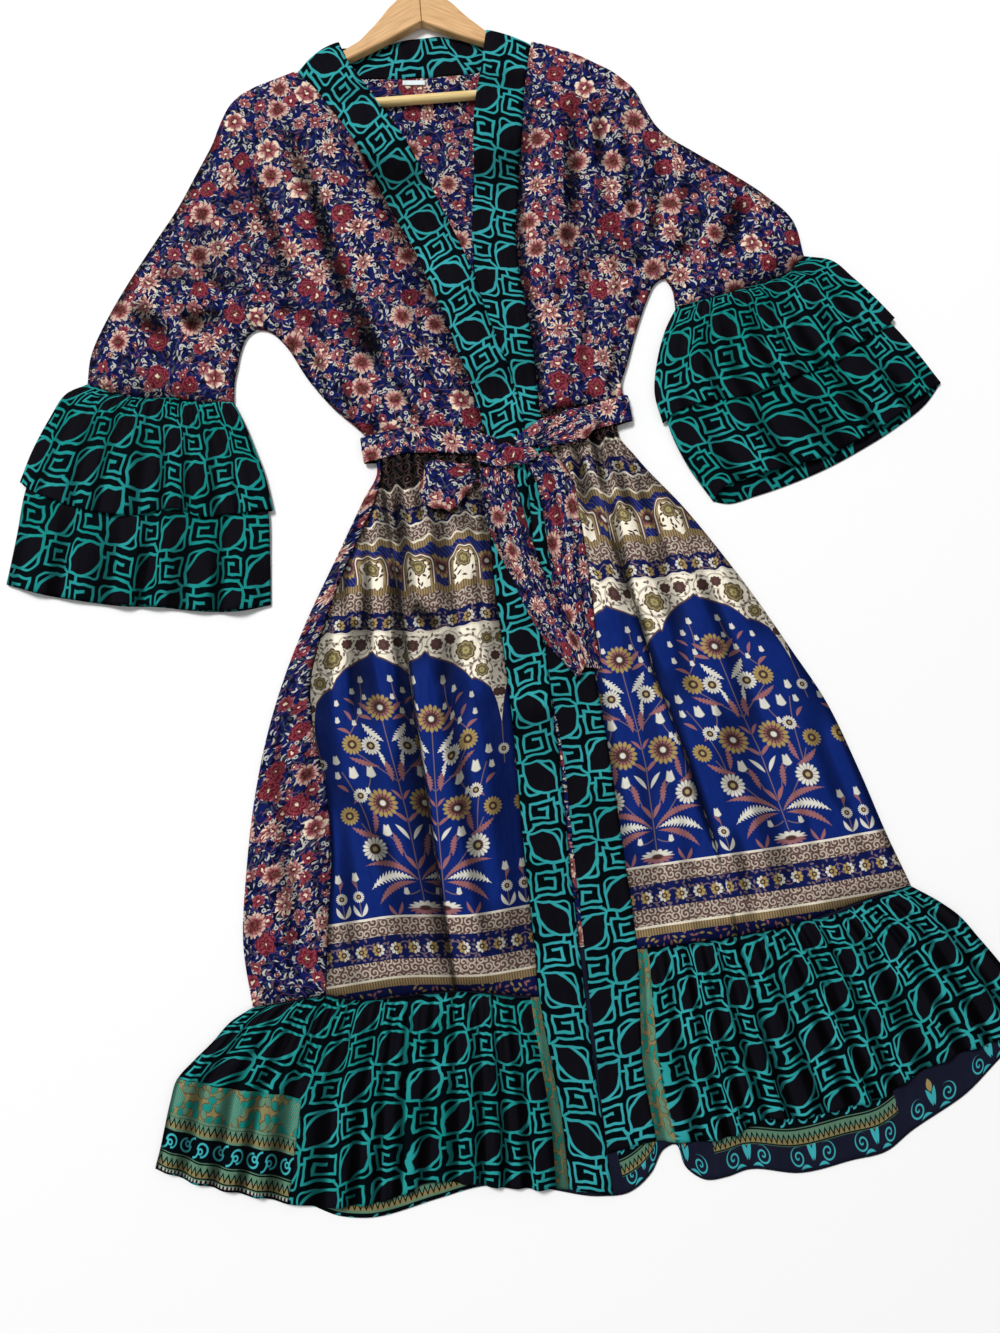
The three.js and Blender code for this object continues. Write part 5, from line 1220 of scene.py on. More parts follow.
def above(a, limit):
    """1 where a is over the limit, else 0."""
    return worked("GREATER_THAN", a, limit)


def stroke(distance, half_width, soft=0.55):
    """Cover of a line along distance 0."""
    return under(abs(distance) - half_width, soft)


def point(x, y):
    """A point from its x and y."""
    return node_for("ShaderNodeCombineXYZ", {0: x, 1: y, 2: 0.0})


def vector_step(operation, *values, output=0, **more):
    """One step of arithmetic with points."""
    given = {**dict(enumerate(values)), **more}
    return node_for("ShaderNodeVectorMath", given, output, operation=operation)


def along_line(spot, x, y):
    """How far a point lies along the direction (x, y)."""
    return vector_step("DOT_PRODUCT", spot, (x, y, 0), output="Value")


def parts(spot):
    """The x and y of a point."""
    return along_line(spot, 1, 0), along_line(spot, 0, 1)


def moved(spot, x, y):
    """The point as seen from (x, y)."""
    return vector_step("SUBTRACT", spot, (x, y, 0))


def heading_parts(spot, angle):
    """How far a point lies along a direction that differs from place to place, and across it."""
    x, y = parts(spot)
    sin, cos = sine(angle), worked("COSINE", angle)
    return scaled_sum(x, cos, y * sin), scaled_sum(y, cos, x * sin * -1)


def line_parts(spot, x0, y0, x1, y1):
    """How far a point lies along the line from (x0, y0) to (x1, y1), how far across it, and its length."""
    length = float(np.hypot(x1 - x0, y1 - y0))
    cx, cy = (x1 - x0) / length, (y1 - y0) / length
    along = along_line(spot, cx, cy) - (x0 * cx + y0 * cy)
    across = along_line(spot, -cy, cx) - (y0 * cx - x0 * cy)
    return along, across, length


def far(spot):
    """Distance of a point from the middle."""
    return vector_step("LENGTH", spot, output="Value")


def bearing(spot):
    """Angle of a point round the middle."""
    x, y = parts(spot)
    return worked("ARCTAN2", y, x)


def painted(base, colour, cover):
    """The base colour with another laid over it."""
    return node_for("ShaderNodeMix", {0: cover, 6: base, 7: colour}, 2, data_type="RGBA")


def chosen(a, b, share):
    """The number a, or b where the share is 1."""
    return node_for("ShaderNodeMix", {0: share, 2: a, 3: b}, 0, data_type="FLOAT")


def chosen_point(a, b, share):
    """The point a, or b where the share is 1."""
    return node_for("ShaderNodeMix", {0: share, 4: a, 5: b}, 1, data_type="VECTOR")


def noise(spot, scale, detail, output=0):
    """Blender's noise over the cloth."""
    return node_for("ShaderNodeTexNoise", {"Vector": spot, "Scale": scale, "Detail": detail}, output,
                    noise_dimensions="2D")


def drift(spot, scale, detail=1.0, seed=0.0):
    """Slow unevenness from 0 to 1, of the given scale in millimetres."""
    return noise(vector_step("ADD", spot, (seed, seed, 0)), 1 / scale, detail)


def scattered(spot, pitch, uneven, seed):
    """Places strewn about a pitch apart: the point as seen from the nearest, and three random numbers for
    it."""
    tree = spot.tree
    node = tree.nodes.new("ShaderNodeTexVoronoi")
    node.voronoi_dimensions = "2D"
    node.feature = "F1"
    node.inputs["Scale"].default_value = 1.0
    node.inputs["Randomness"].default_value = uneven
    near = vector_step("SCALE", vector_step("ADD", spot, (seed, 2 * seed, 0)), Scale=1 / pitch)
    feed(tree, node.inputs["Vector"], near)
    from_place = vector_step("SUBTRACT", near, Field(tree, node.outputs["Position"]))
    offset = vector_step("SCALE", from_place, Scale=pitch)
    luck = tree.nodes.new("ShaderNodeSeparateColor")
    tree.links.new(node.outputs["Color"], luck.inputs[0])
    return offset, [Field(tree, output) for output in luck.outputs]


def petal_wave(angle, petals):
    """1 along the middle of each petal and 0 between petals: the size of the cosine of half the petals'
    angle."""
    return abs(worked("COSINE", angle * petals * 0.5))


TOOTH_PITCH = 3.2


def leaf_shape(along, across, length, half_width, bend=0.0, teeth=0.0):
    """Cover of a leaf: half width times the parabola 4s(1-s), its middle bent aside by the same parabola;
    teeth give its edge a wave of that share."""
    bow = along * (length - along) * (4 / length ** 2)
    middle = abs(scaled_sum(bow, -bend, across)) if bend else abs(across)
    width = half_width
    if teeth:
        saw = sine(scaled_sum(along, 2 * np.pi / TOOTH_PITCH, middle))
        width = scaled_sum(saw, half_width * teeth, half_width)
    return under(middle - bow * width)


def leaf(spot, x0, y0, x1, y1, half_width, bend=0.0, teeth=0.0):
    """A leaf from its root to its tip."""
    along, across, length = line_parts(spot, x0, y0, x1, y1)
    return leaf_shape(along, across, length, half_width, bend, teeth)


def any_of(covers):
    """Cover of several shapes together."""
    return functools.reduce(most, covers)


def nearest(spot, rows):
    """The table's nearest motif, by distance over size: the point in the motif's own sizes, how far it is,
    and the motif's number."""
    best = None
    for x, y, size, number in rows:
        local = vector_step("SCALE", moved(spot, x, y), Scale=1 / size)
        reach = far(local)
        if best is None:
            best = (local, reach, number)
            continue
        closer = beneath(reach, best[1])
        reach = least(reach, best[1])
        best = (chosen_point(best[0], local, closer), reach, chosen(best[2], float(number), closer))
    return best


def ramp(height, top, bottom, rows):
    """Values by height from a table of (height, value): each value holds from its height up to the next."""
    scaled = scaled_sum(height, 1 / (top - bottom), -bottom / (top - bottom))
    tree = height.tree
    node = tree.nodes.new("ShaderNodeValToRGB")
    node.color_ramp.interpolation = "CONSTANT"
    feed(tree, node.inputs[0], scaled)
    places = sorted(((y - bottom) / (top - bottom), value) for y, value in rows)
    elements = node.color_ramp.elements
    while len(elements) < len(places):
        elements.new(0.5)
    for element, (place, value) in zip(elements, places):
        element.position = min(max(place, 0), 1)
        element.color = (value, value, value, 1)
    split = tree.nodes.new("ShaderNodeSeparateColor")
    tree.links.new(node.outputs[0], split.inputs[0])
    return Field(tree, split.outputs[0])


def band_cover(height, bands, kinds):
    """Cover of the bands of some kinds; each row of the table gives a band's lower edge and its kind."""
    top, bottom = bands[0][0], bands[-1][0]
    rows = [(low, float(kind in kinds)) for low, kind in bands]
    return ramp(height, top + 60, bottom, rows)


TO_MM = 1000.0
# How the threads and wrinkles are drawn out sideways, their scale, and how much deeper the wrinkles are
WEAVE = {"threads": (1.0, 0.16, 1.0), "thread_scale": 0.9,
         "wrinkles": (1.0, 0.4, 1.0), "wrinkle_scale": 0.055, "deeper": 14.0}


def new_material(name, roughness):
    """A node material: itself, its tree, its shader and the piece's own uv as a point in metres."""
    material = bpy.data.materials.new(name)
    material.use_nodes = True
    tree = material.node_tree
    shader = tree.nodes["Principled BSDF"]
    shader.inputs["Roughness"].default_value = roughness
    uv = tree.nodes.new("ShaderNodeUVMap")
    uv.uv_map = "cloth"
    return material, tree, shader, Field(tree, uv.outputs[0])


def bumped(tree, shader, height, strength, distance):
    """Raises the surface by a height."""
    bump = tree.nodes.new("ShaderNodeBump")
    bump.inputs["Strength"].default_value = strength
    bump.inputs["Distance"].default_value = distance
    feed(tree, bump.inputs["Height"], height)
    tree.links.new(bump.outputs[0], shader.inputs["Normal"])


def print_material(name, roughness=0.62, gloss=0.02):
    """A cloth material: its tree, the point on the cloth in millimetres, and its shader."""
    material, tree, shader, uv = new_material(name, roughness)
    shader.inputs["Specular IOR Level"].default_value = gloss
    spot = vector_step("SCALE", uv, Scale=TO_MM)
    threads = noise(vector_step("MULTIPLY", spot, WEAVE["threads"]), WEAVE["thread_scale"], 2.0)
    wrinkles = noise(vector_step("MULTIPLY", spot, WEAVE["wrinkles"]), WEAVE["wrinkle_scale"], 2.0)
    bumped(tree, shader, scaled_sum(wrinkles, WEAVE["deeper"], threads), 0.4, 0.0006)
    return material, tree, spot, shader


def show(tree, shader, colour, spot, uneven=0.16, in_folds=0.9):
    """Gives the colour to the shader, a little lighter and darker from place to place, with painted shade
    deeper in the folds and painted light on their crests."""
    # painted shade and light from the fold attribute: darker in folds by up to in_folds, lighter on crests by
    # up to 12 per cent
    fold = tree.nodes.new("ShaderNodeAttribute")
    fold.attribute_name = "fold"
    deep = scaled_sum(Field(tree, fold.outputs["Fac"]), -in_folds, 1 - in_folds * 0.06)
    shade = scaled_sum(drift(spot, 9, 3.0, 40.0), uneven, 1 - uneven / 2) * least(deep, 1.12)
    feed(tree, shader.inputs["Base Color"], vector_step("SCALE", colour, Scale=shade))


# Floral print

NAVY = srgb(17, 26, 82)
INK = srgb(8, 10, 34)
CREAM = srgb(226, 204, 180)
BLUSH = srgb(156, 98, 100)
ROSE = srgb(128, 56, 66)
MAROON = srgb(88, 20, 34)
SAGE = srgb(62, 70, 76)
MIST = srgb(184, 184, 174)
MAUVE = srgb(104, 66, 82)
BUD_CENTRE = srgb(92, 66, 52)

# Sprays of small leaves: pitch between leaves, length, half width, lean to each side, share shown, seed
SPRAYS = [(5.6, 6.2, 0.7, 0.5, 0.5, 11.0), (4.8, 4.2, 0.55, 0.75, 0.46, 57.0),
          (7.8, 8.2, 0.95, 0.35, 0.5, 131.0)]

# Strewn blossoms: pitch, smallest radius, how much more the largest has, share shown, seed
BLOSSOMS = [(11.0, 2.6, 1.6, 0.28, 431.0), (20.0, 5.4, 3.2, 0.5, 477.0)]


def floral_print(name):
    """Navy ground strewn with sprays of small leaves, white ring blossoms, pink blossoms and large open
    flowers."""
    material, tree, spot, shader = print_material(name)
    stream = drift(spot, 34, 1.0) * 9
    base = painted(NAVY, INK, under(drift(spot, 6, 2.0, 300.0) * 10 - 4.6, 1.5))
    base = painted(base, MAUVE, faint(stroke(drift(spot, 17, 0.0, 90.0) * 60 - 30, 0.7, 0.8), 0.75))
    for pitch, length, half_width, lean, share, seed in SPRAYS:
        offset, luck = scattered(spot, pitch, 0.8, seed)
        heading = scaled_sum(above(luck[0], 0.5), 2 * lean, stream - lean)
        along, across = heading_parts(offset, heading)
        cover = leaf_shape(along + length / 2, across, length, half_width)
        tone = painted(painted(SAGE, MIST, above(luck[1], 0.4)), MAUVE, above(luck[1], 0.82))
        base = painted(base, tone, least(cover, beneath(luck[2], share)))
    offset, luck = scattered(spot, 11.5, 0.85, 211.0)
    reach = far(offset)
    shown = beneath(luck[2], 0.4)
    base = painted(base, MIST, least(under(reach - 2.1), shown))
    base = painted(base, NAVY, least(under(reach - 0.9), shown))
    # the flowers are drawn on a ground that is shaken a little, so that no two are alike
    ragged = vector_step("ADD", spot, point(drift(spot, 6.5, 1.0, 500.0) * 6.4 - 3.2,
                                            drift(spot, 6.5, 1.0, 560.0) * 6.4 - 3.2))
    streak = drift(spot, 2.6, 1.0, 620.0)
    for pitch, smallest, spread, share, seed in BLOSSOMS:
        offset, luck = scattered(ragged, pitch, 0.75, seed)
        wave = petal_wave(bearing(offset) + luck[1] * 6.283, worked("ROUND", scaled_sum(luck[0], 3.0, 5.0)))
        reach = worked("DIVIDE", far(offset), scaled_sum(luck[1], spread, smallest))
        tone = painted(ROSE, BLUSH, above(luck[0] + streak * 0.8, 1.0))
        tone = painted(tone, CREAM, faint(under(0.86 + streak * 0.5 - reach - luck[0] * 0.3, 0.15), 0.55))
        tone = painted(tone, MAROON, faint(under(wave - 0.32, 0.35), 0.85))
        tone = painted(tone, MAROON, faint(under(reach - 0.42, 0.1), 0.8))
        tone = painted(tone, CREAM, under(reach - 0.2, 0.1))
        base = painted(base, tone, least(under((reach - wave * 0.34 - 0.64) * 8), beneath(luck[2], share)))
    # large flowers: daisies, pale poppies, zinnias and layered roses
    offset, luck = scattered(ragged, 37, 0.7, 701.0)
    kind, spin, size = luck
    daisy, zinnia, rose = beneath(kind, 0.34), above(kind, 0.46) * beneath(kind, 0.74), above(kind, 0.74)
    petals = scaled_sum(zinnia, 8.0, scaled_sum(daisy, 5.0, 6.0))
    angle = bearing(offset) + spin * 6.283
    wave = petal_wave(angle, petals)
    pointed = 1 - abs(sine(angle * petals * 0.5))
    shape = chosen(chosen(wave * 0.2, pointed * 0.5 - 0.24, daisy), wave * 0.07, rose)
    radius = scaled_sum(size, 4.0, 10.5)
    reach = worked("DIVIDE", far(offset), radius)
    cover = under((reach - shape - 0.8) * 10, 0.6)
    petal = painted(ROSE, BLUSH, under(0.62 - reach - streak * 0.3, 0.3))
    petal = painted(petal, CREAM, least(under(0.9 - reach - streak * 0.4, 0.2), 1 - zinnia * 0.5))
    petal = painted(petal, painted(BLUSH, CREAM, under(0.62 - reach * 0.5 - streak * 0.6, 0.2)), daisy)
    petal = painted(petal, MAROON, faint(under(wave - 0.34, 0.4), 0.8))
    rings = sine(scaled_sum(reach, 19.0, sine(angle * 5) * 1.8 + streak * 5))
    petal = painted(petal, painted(MAROON, ROSE, under(0 - rings, 0.9)), rose)
    inner = painted(BUD_CENTRE, MAROON, under(streak - 0.5, 0.2))
    petal = painted(petal, inner, under(reach - zinnia * 0.16 - 0.28, 0.1))
    petal = painted(petal, CREAM, least(under((reach - streak * 0.24) * 10, 0.8), 1 - zinnia))
    base = painted(base, petal, least(cover, beneath(size, 0.86)))
    show(tree, shader, base, spot, 0.24, 0.98)
    return material


# Leaf and key print

NIGHT = srgb(3, 10, 14)
LEAF_DARK = srgb(14, 13, 19)
TEAL = srgb(18, 126, 120)
TEAL_PALE = srgb(60, 164, 172)
CELL = 34.0
LEAF_CELL = {"frame": 15.6, "corner": 6.5, "frame_line": 1.05, "reach": 23.2, "belly": 12.6, "line": 1.35}
# Straight strokes of the key: middle x, middle y, half length, half height; then the slanting one at the
# corner
KEY_STROKES = [(-1, -10.6, 11.6, 0), (-12.3, 0, 0, 10.6), (-0.2, 10.4, 12.2, 0), (12, 2.6, 0, 7.8),
               (3.6, -5.0, 8.4, 0), (-4.6, -0.4, 0, 4.6), (-0.8, 4.0, 3.8, 0), (-7, 14, 0, 3.4),
               (-14.8, 5.4, 2.4, 0)]
KEY_SLANT = (10, -10.8, 17.2, -17.4)


def box_reach(x, y, cx, cy, half_x, half_y):
    """Distance to a straight stroke's middle line, square at its ends."""
    return most(abs(x - cx) - half_x, abs(y - cy) - half_y)


def key_print_colour(spot, pale):
    """Leaves and square keys in turn over a grid of 34 millimetre cells, drawn by a slightly shaky hand;
    pale says how far the lines have faded."""
    shake = vector_step("SUBTRACT", noise(spot, 0.055, 1.0, 1), (0.5, 0.5, 0))
    shaky = vector_step("ADD", spot, vector_step("SCALE", shake, Scale=5.5))
    x_all, y_all = parts(shaky)
    x, y = wrapped(x_all, CELL), wrapped(y_all, CELL)
    column = worked("FLOOR", scaled_sum(x_all, 1 / CELL, 0.5))
    row = worked("FLOOR", scaled_sum(y_all, 1 / CELL, 0.5))
    is_key = above(worked("FRACT", (column + row) * 0.5), 0.25)
    # the leaf: two arcs from corner to corner, in a frame that is round at the other two corners
    a, b = (x + y) * 0.7071, abs((x - y) * 0.7071)
    half, belly = LEAF_CELL["reach"], LEAF_CELL["belly"]
    radius = (half ** 2 + belly ** 2) / (2 * belly)
    arc = far(point(a, b + (radius - belly))) - radius
    corner = beneath(x * y, 0) * LEAF_CELL["corner"]
    inner = LEAF_CELL["frame"] - corner
    past_x, past_y = abs(x) - inner, abs(y) - inner
    frame = far(point(most(past_x, 0.0), most(past_y, 0.0))) + least(most(past_x, past_y), 0.0) - corner
    line = most(stroke(arc, LEAF_CELL["line"]), stroke(frame, LEAF_CELL["frame_line"]))
    # the key: straight strokes and a slanting one that meets the leaves' tips
    reach = None
    for stroke_row in KEY_STROKES:
        one = box_reach(x, y, *stroke_row)
        reach = one if reach is None else least(reach, one)
    along, across, length = line_parts(point(x, y), *KEY_SLANT)
    reach = least(reach, most(abs(along - length / 2) - length / 2, abs(across)))
    key = under(reach - 1.25)
    line = chosen(line, key, is_key)
    ground = painted(NIGHT, LEAF_DARK, least(under(arc), 1 - is_key))
    faded = scaled_sum(drift(spot, 60, 1.0, 77.0), 0.7, pale - 0.35)
    return painted(ground, painted(TEAL, TEAL_PALE, faded), line)


def key_print(name, stripe=None, pale=0.15):
    """The leaf and key print; a stripe gives where the cloth's woven edge of tan and teal lies, from and
    to."""
    material, tree, spot, shader = print_material(name, 0.6, 0.012)
    colour = key_print_colour(spot, pale)
    if stripe:
        x, _ = parts(spot)
        colour = painted(colour, ornament_colour(point(parts(spot)[1], (x - stripe[0]) * 2.4)),
                         under(abs(x - (stripe[0] + stripe[1]) / 2) - (stripe[1] - stripe[0]) / 2))
    show(tree, shader, colour, spot, 0.14, 0.92)
    return material


# Tan and teal border

TAN = srgb(126, 116, 78)
FADED = srgb(88, 122, 100)
DEEP_TEAL = srgb(24, 124, 114)
SAND = srgb(152, 134, 86)


def ornament_colour(spot):
    """Tan ground with outlined teal leaves, and a lozenge in rings every 70 millimetres; 30 millimetres
    high."""
    x, y = parts(spot)
    local = wrapped(x, 70.0)
    y = wrapped(y - 16, 34.0)
    lozenge = abs(local) * 0.9 + abs(y)
    leaves, luck = scattered(spot, 9, 0.6, 17.0)
    along, across = heading_parts(leaves, luck[0] * 6.283)
    colour = painted(TAN, NIGHT, faint(leaf_shape(along + 6.2, across, 12.4, 4.2), 0.6))
    leaf = painted(DEEP_TEAL, FADED, above(luck[1], 0.6))
    colour = painted(colour, leaf, leaf_shape(along + 5.4, across, 10.8, 3.2))
    inside = under(lozenge - 15)
    colour = painted(colour, DEEP_TEAL, inside)
    return painted(colour, SAND, least(stroke(sine(lozenge * 1.25), 0.34, 0.3), inside))


def zigzag_colour(x, height, middle, tall):
    """A dark zigzag line over a faded ground."""
    line = abs(wrapped(x, 6.0)) * (tall / 3) - tall / 2
    return painted(painted(TAN, FADED, above(height, middle)), NIGHT, stroke(height - middle - line, 1.5))


def spiral(spot, size, pitch):
    """Cover of a curl that opens outwards by one pitch a turn."""
    reach = far(spot)
    turn = bearing(spot) * (pitch / (2 * np.pi))
    return least(stroke(wrapped(reach - turn, pitch), 0.75), under(reach - size))


def border_strip_colour(spot):
    """Rows from the hem up: dots, teeth, a dark row of curls, teeth again and the ornament."""
    x, y = parts(spot)
    colour = painted(FADED, NIGHT, under(abs(wrapped(y, 4.0)) - 0.7))
    lower = zigzag_colour(x, y, 9, 6.5)
    upper = zigzag_colour(x, y, 43.5, 7)
    colour = painted(colour, lower, stroke(y - 9, 4.4))
    colour = painted(colour, upper, stroke(y - 43.5, 4.8))
    # running scroll: each half of an S is a ring left open on the inner side, with a hook inside, joined
    # by a stem
    local = wrapped(x, 38.0)
    side = worked("SIGN", local)
    half = point(local * side - 10.5, (y - 27) * side - 0.5)
    half_x, half_y = parts(half)
    ring = least(stroke(far(half) - 5.6, 0.85), above(most(half_x, half_y), -0.6))
    hook = stroke(far(moved(half, -1.6, -1.4)) - 2.2, 0.8)
    stem = least(stroke(far(moved(half, -10.5, -2.0)) - 6.4, 0.85), beneath(most(half_x + 4, half_y), 1.5))
    scroll = most(ring, most(hook, stem))
    colour = painted(colour, painted(NIGHT, TEAL_PALE, scroll), stroke(y - 27, 9.6))
    colour = painted(colour, ornament_colour(point(x, y - 50)), above(y, 51.5))
    return painted(colour, painted(NIGHT, MIST, under(abs(wrapped(x, 4.0)) - 1.0)), under(y - 2.5))


def border_strip_print(name):
    material, tree, spot, shader = print_material(name)
    show(tree, shader, border_strip_colour(spot), spot)
    return material


# Where the border strip lies on the back ruffle: from and to along it, from and to above its hem
STRIPS = [(0, 330, -30, 16), (500, 566, 14, 42), (640, 860, 21, 60)]
CHARCOAL = srgb(24, 26, 42)


def back_ruffle_print(name):
    """Charcoal with pairs of pale curls about a tan bud along the hem, and pieced lengths of the border
    strip."""
    material, tree, spot, shader = print_material(name)
    x, y = parts(spot)
    local = abs(wrapped(x - 12, 74.0))
    colour = CHARCOAL
    curls = spiral(point(17 - local, 12 - y), 8.5, 5.2)
    motif = point(local, y)
    cover = any_of([curls, leaf(motif, 1, 8, 5, 24, 2.2, 1.0), leaf(motif, 4, 3, 16, 2, 1.4, 2.0)])
    colour = painted(colour, TEAL_PALE, cover)
    colour = painted(colour, SAND, leaf(motif, 0, 20, 0, 32, 3.0))
    for low_x, high_x, low_y, high_y in STRIPS:
        inside = most(abs(x - (low_x + high_x) / 2) - (high_x - low_x) / 2,
                      abs(y - (low_y + high_y) / 2) - (high_y - low_y) / 2)
        colour = painted(colour, border_strip_colour(point(x, y - low_y + 3)), under(inside))
    show(tree, shader, colour, spot)
    return material


# Flowering-bush border of the skirt

ROYAL = srgb(13, 35, 102)
BAND_NAVY = srgb(15, 24, 72)
IVORY = srgb(236, 228, 208)
WHITE = srgb(204, 202, 190)
UMBER = srgb(70, 46, 44)
SCROLL = srgb(92, 68, 64)
RUST = srgb(140, 92, 94)
OLIVE = srgb(160, 150, 100)
GOLD = srgb(158, 136, 84)
RIB = srgb(150, 130, 92)
STEM = srgb(112, 92, 96)

# Bands from the waist down: lower edge and what fills them
BANDS = [(-12.5, "tiles"), (-32, "scroll"), (-50.5, "vine"), (-67.5, "scroll"), (-76, "rib"),
         (-118, "arches"), (-126, "rib"), (-142.5, "scroll"), (-163.5, "vine"), (-445.5, "field"),
         (-462.5, "scroll"), (-486.5, "vine"), (-502.5, "scroll"), (-511, "rib"), (-545, "edge")]
PALE_LINES = [-12.5, -32, -50.5, -67.5, -142.5, -163.5, -445.5, -462.5, -486.5, -502.5]
# Lower edge of the ivory band, from the arch's middle to the drop between arches
ARCH_EDGE = [(0, -183), (5, -188), (15, -192), (27, -198), (38, -208), (44, -217), (47, -216), (55, -221),
             (62, -228), (65.5, -239), (67.5, -248), (70, -264)]
# Flowers of one half of a bush: from the middle, height, radius, kind (0 white daisy, 1 gold, 2 double gold)
BUSH_FLOWERS = [(0, -240, 13.5, 2), (35, -275, 10, 1), (17.5, -278, 9, 0), (39.5, -326, 7, 0),
                (20, -335, 14, 2), (55, -344, 9, 1), (37, -379, 11.5, 0), (61.5, -422, 5.5, 0),
                (70, -290, 5.5, 0)]
# White buds: from the middle, height, size
BUDS = [(15, -211, 6.5), (25, -222, 6), (14, -229, 5.5), (42, -232, 6), (21, -243, 6), (44, -249, 6),
        (28, -254, 5.5), (55, -288, 8.5), (24, -304, 10.5), (41, -303, 11), (57, -303, 7),
        (22, -362, 10.5), (15, -421, 6.5), (61.5, -403, 8), (31, -322, 6)]
# Leaves: root x, y, tip x, y, half width, bend, teeth
PINK_LEAVES = [(34, -265, 46, -257, 1.8, 1.5, 0), (10, -246, 21, -234, 2.2, 1, 0),
               (10, -252, 24, -247, 2, 1, 0), (14, -299, 41, -287, 2.4, -1.5, 0.3),
               (5, -314, 9, -292, 2.8, 1.5, 0.3), (1, -332, 9, -322, 1.5, 1, 0),
               (34, -364, 31, -341, 2.4, 1.5, 0.3), (30, -368, 55, -355, 2.6, -2, 0.3),
               (12, -387, 17, -364, 2.6, 1, 0.3), (1, -354, 12, -344, 1.8, 1, 0),
               (1, -400, 10, -386, 2, 1, 0), (2, -409, 49, -394, 2.7, 7, 0.25),
               (4, -412, 42, -432, 3, 6, 0.25), (27, -444, 21, -431, 1.6, 1, 0),
               (27, -444, 34, -433, 1.6, -1, 0), (61.5, -414, 66, -406, 1.3, 1, 0),
               (48, -333, 40, -318, 1.8, 1.5, 0), (50, -321, 60, -312, 1.8, 1, 0),
               (52, -352, 64, -343, 1.6, 1, 0), (25, -236, 34, -228, 1.4, 1, 0),
               (30, -252, 36, -240, 1.6, 1, 0)]
WHITE_LEAVES = [(4, -274, 21, -255, 3, -1.5, 0.4), (9, -298, 12, -283, 1.8, 1, 0.3),
                (2, -371, 13, -356, 1.9, 1, 0), (5, -409, 47, -417, 3.6, 7, 0.5),
                (61.5, -441, 55, -429, 1.9, 1.5, 0), (61.5, -441, 68, -429, 1.9, -1.5, 0)]
STEMS = [(0, -434, 0, -252, 0), (0, -314, 34, -283, 0), (2, -410, 45, -353, -3), (38, -366, 52, -300, 3),
         (36, -266, 16, -213, 6), (8, -388, 22, -366, 2), (61.5, -440, 61.5, -404, 0),
         (33, -324, 25, -307, 1), (0, -352, 20, -344, 2), (70, -262, 70, -304, 0),
         (2, -420, 14, -424, -1)]
# Rosettes of the ivory band: from the arch's middle, height, radius, kind (1 olive, 0 brown)
ROSETTES = [(41, -187, 10.5, 1), (55, -209, 7, 1), (12, -176, 6.5, 0), (63, -178, 6, 1), (26, -173, 5.5, 0),
            (68, -233, 4.5, 0), (70, -196, 5, 0)]


def flower_colour(local, reach, kind, petals=16):
    """Gold or white petals round a brown heart; the double ones have a second, rosy ring and a pale heart."""
    wave = petal_wave(bearing(local), petals)
    is_gold, is_double = above(kind, 0.5), above(kind, 1.5)
    colour = painted(WHITE, GOLD, is_gold)
    colour = painted(colour, UMBER, faint(under(wave - 0.25, 0.4), 0.75))
    second = painted(RUST, UMBER, under(wave - 0.5, 0.5))
    colour = painted(colour, second, least(is_double, under(reach - 0.66, 0.1)))
    colour = painted(colour, UMBER, under(reach - 0.46, 0.08))
    colour = painted(colour, painted(OLIVE, WHITE, is_double), under(reach - 0.2, 0.08))
    return colour, under(reach - 0.8 - wave * 0.22, 0.1)


def bud_cover(local):
    """A three-petalled bud in its own size: round below, with two notches in its rim."""
    x, y = parts(local)
    rim = abs(sine(x * 7.0)) * -0.3 + 0.5
    across = abs(x) - scaled_sum(y, -0.25, 0.42)
    along = most(y - 0.78 + rim * 0.6, -0.6 - y + x * x)
    return under(most(across, along), 0.12)


def scroll_colour(spot):
    """Brown ground with closely curled ivory scrolls."""
    offset, luck = scattered(spot, 7.5, 0.5, 23.0)
    curl = sine(bearing(offset) + far(offset) * 1.7 + luck[0] * 6.283)
    return painted(SCROLL, IVORY, faint(under(0.45 - curl, 0.6), 0.45))


def vine_colour(x, y):
    """Navy ground, a waving stem, a small daisy every 17 millimetres where the stem crosses the middle, small
    leaves."""
    local = wrapped(x, 17.0)
    colour = painted(BAND_NAVY, STEM, stroke(sine(x * (np.pi / 17)) * 6 - y, 0.55))
    offset, luck = scattered(point(x, y), 4.6, 0.8, 5.0)
    along, across = heading_parts(offset, luck[0] * 6.283)
    colour = painted(colour, STEM, least(leaf_shape(along + 2.4, across, 4.8, 1.0), above(luck[1], 0.4)))
    daisy = point(local, y)
    reach = far(daisy) * (1 / 5.8)
    kind = above(wrapped(x, 34.0), 0)
    petal, cover = flower_colour(daisy, reach, kind * 1.2, 8)
    return painted(colour, petal, cover)


def arches_colour(x, y, leaves):
    """Blue ground with ivory arches that hold a rosette and leaves, and a gold daisy between two arches."""
    local = wrapped(x, REPEAT / 3)
    tall = most(y + 97, 0.0)
    arch = far(point(local, tall)) - 17.5
    colour = painted(ROYAL, STEM, faint(under(abs(sine(x * 0.8 + y * 0.5)) - 0.18, 0.3), 0.7))
    beside = wrapped(x - REPEAT / 6, REPEAT / 3)
    daisy = point(beside, y + 97)
    petal, cover = flower_colour(daisy, far(daisy) * (1 / 11.5), above(abs(y), 1.0) * 2)
    colour = painted(colour, petal, cover)
    colour = painted(colour, SCROLL, under(arch))
    colour = painted(colour, IVORY, stroke(arch + 2.2, 0.5))
    colour = painted(colour, RIB, under(arch + 4))
    colour = painted(colour, IVORY, under(arch + 6.5))
    rosette = point(local, y + 95)
    petal, cover = rosette_colour(rosette, far(rosette) * (1 / 8.5), OLIVE)
    colour = painted(colour, UMBER, least(leaves, under(arch + 4.5)))
    return painted(colour, petal, cover)


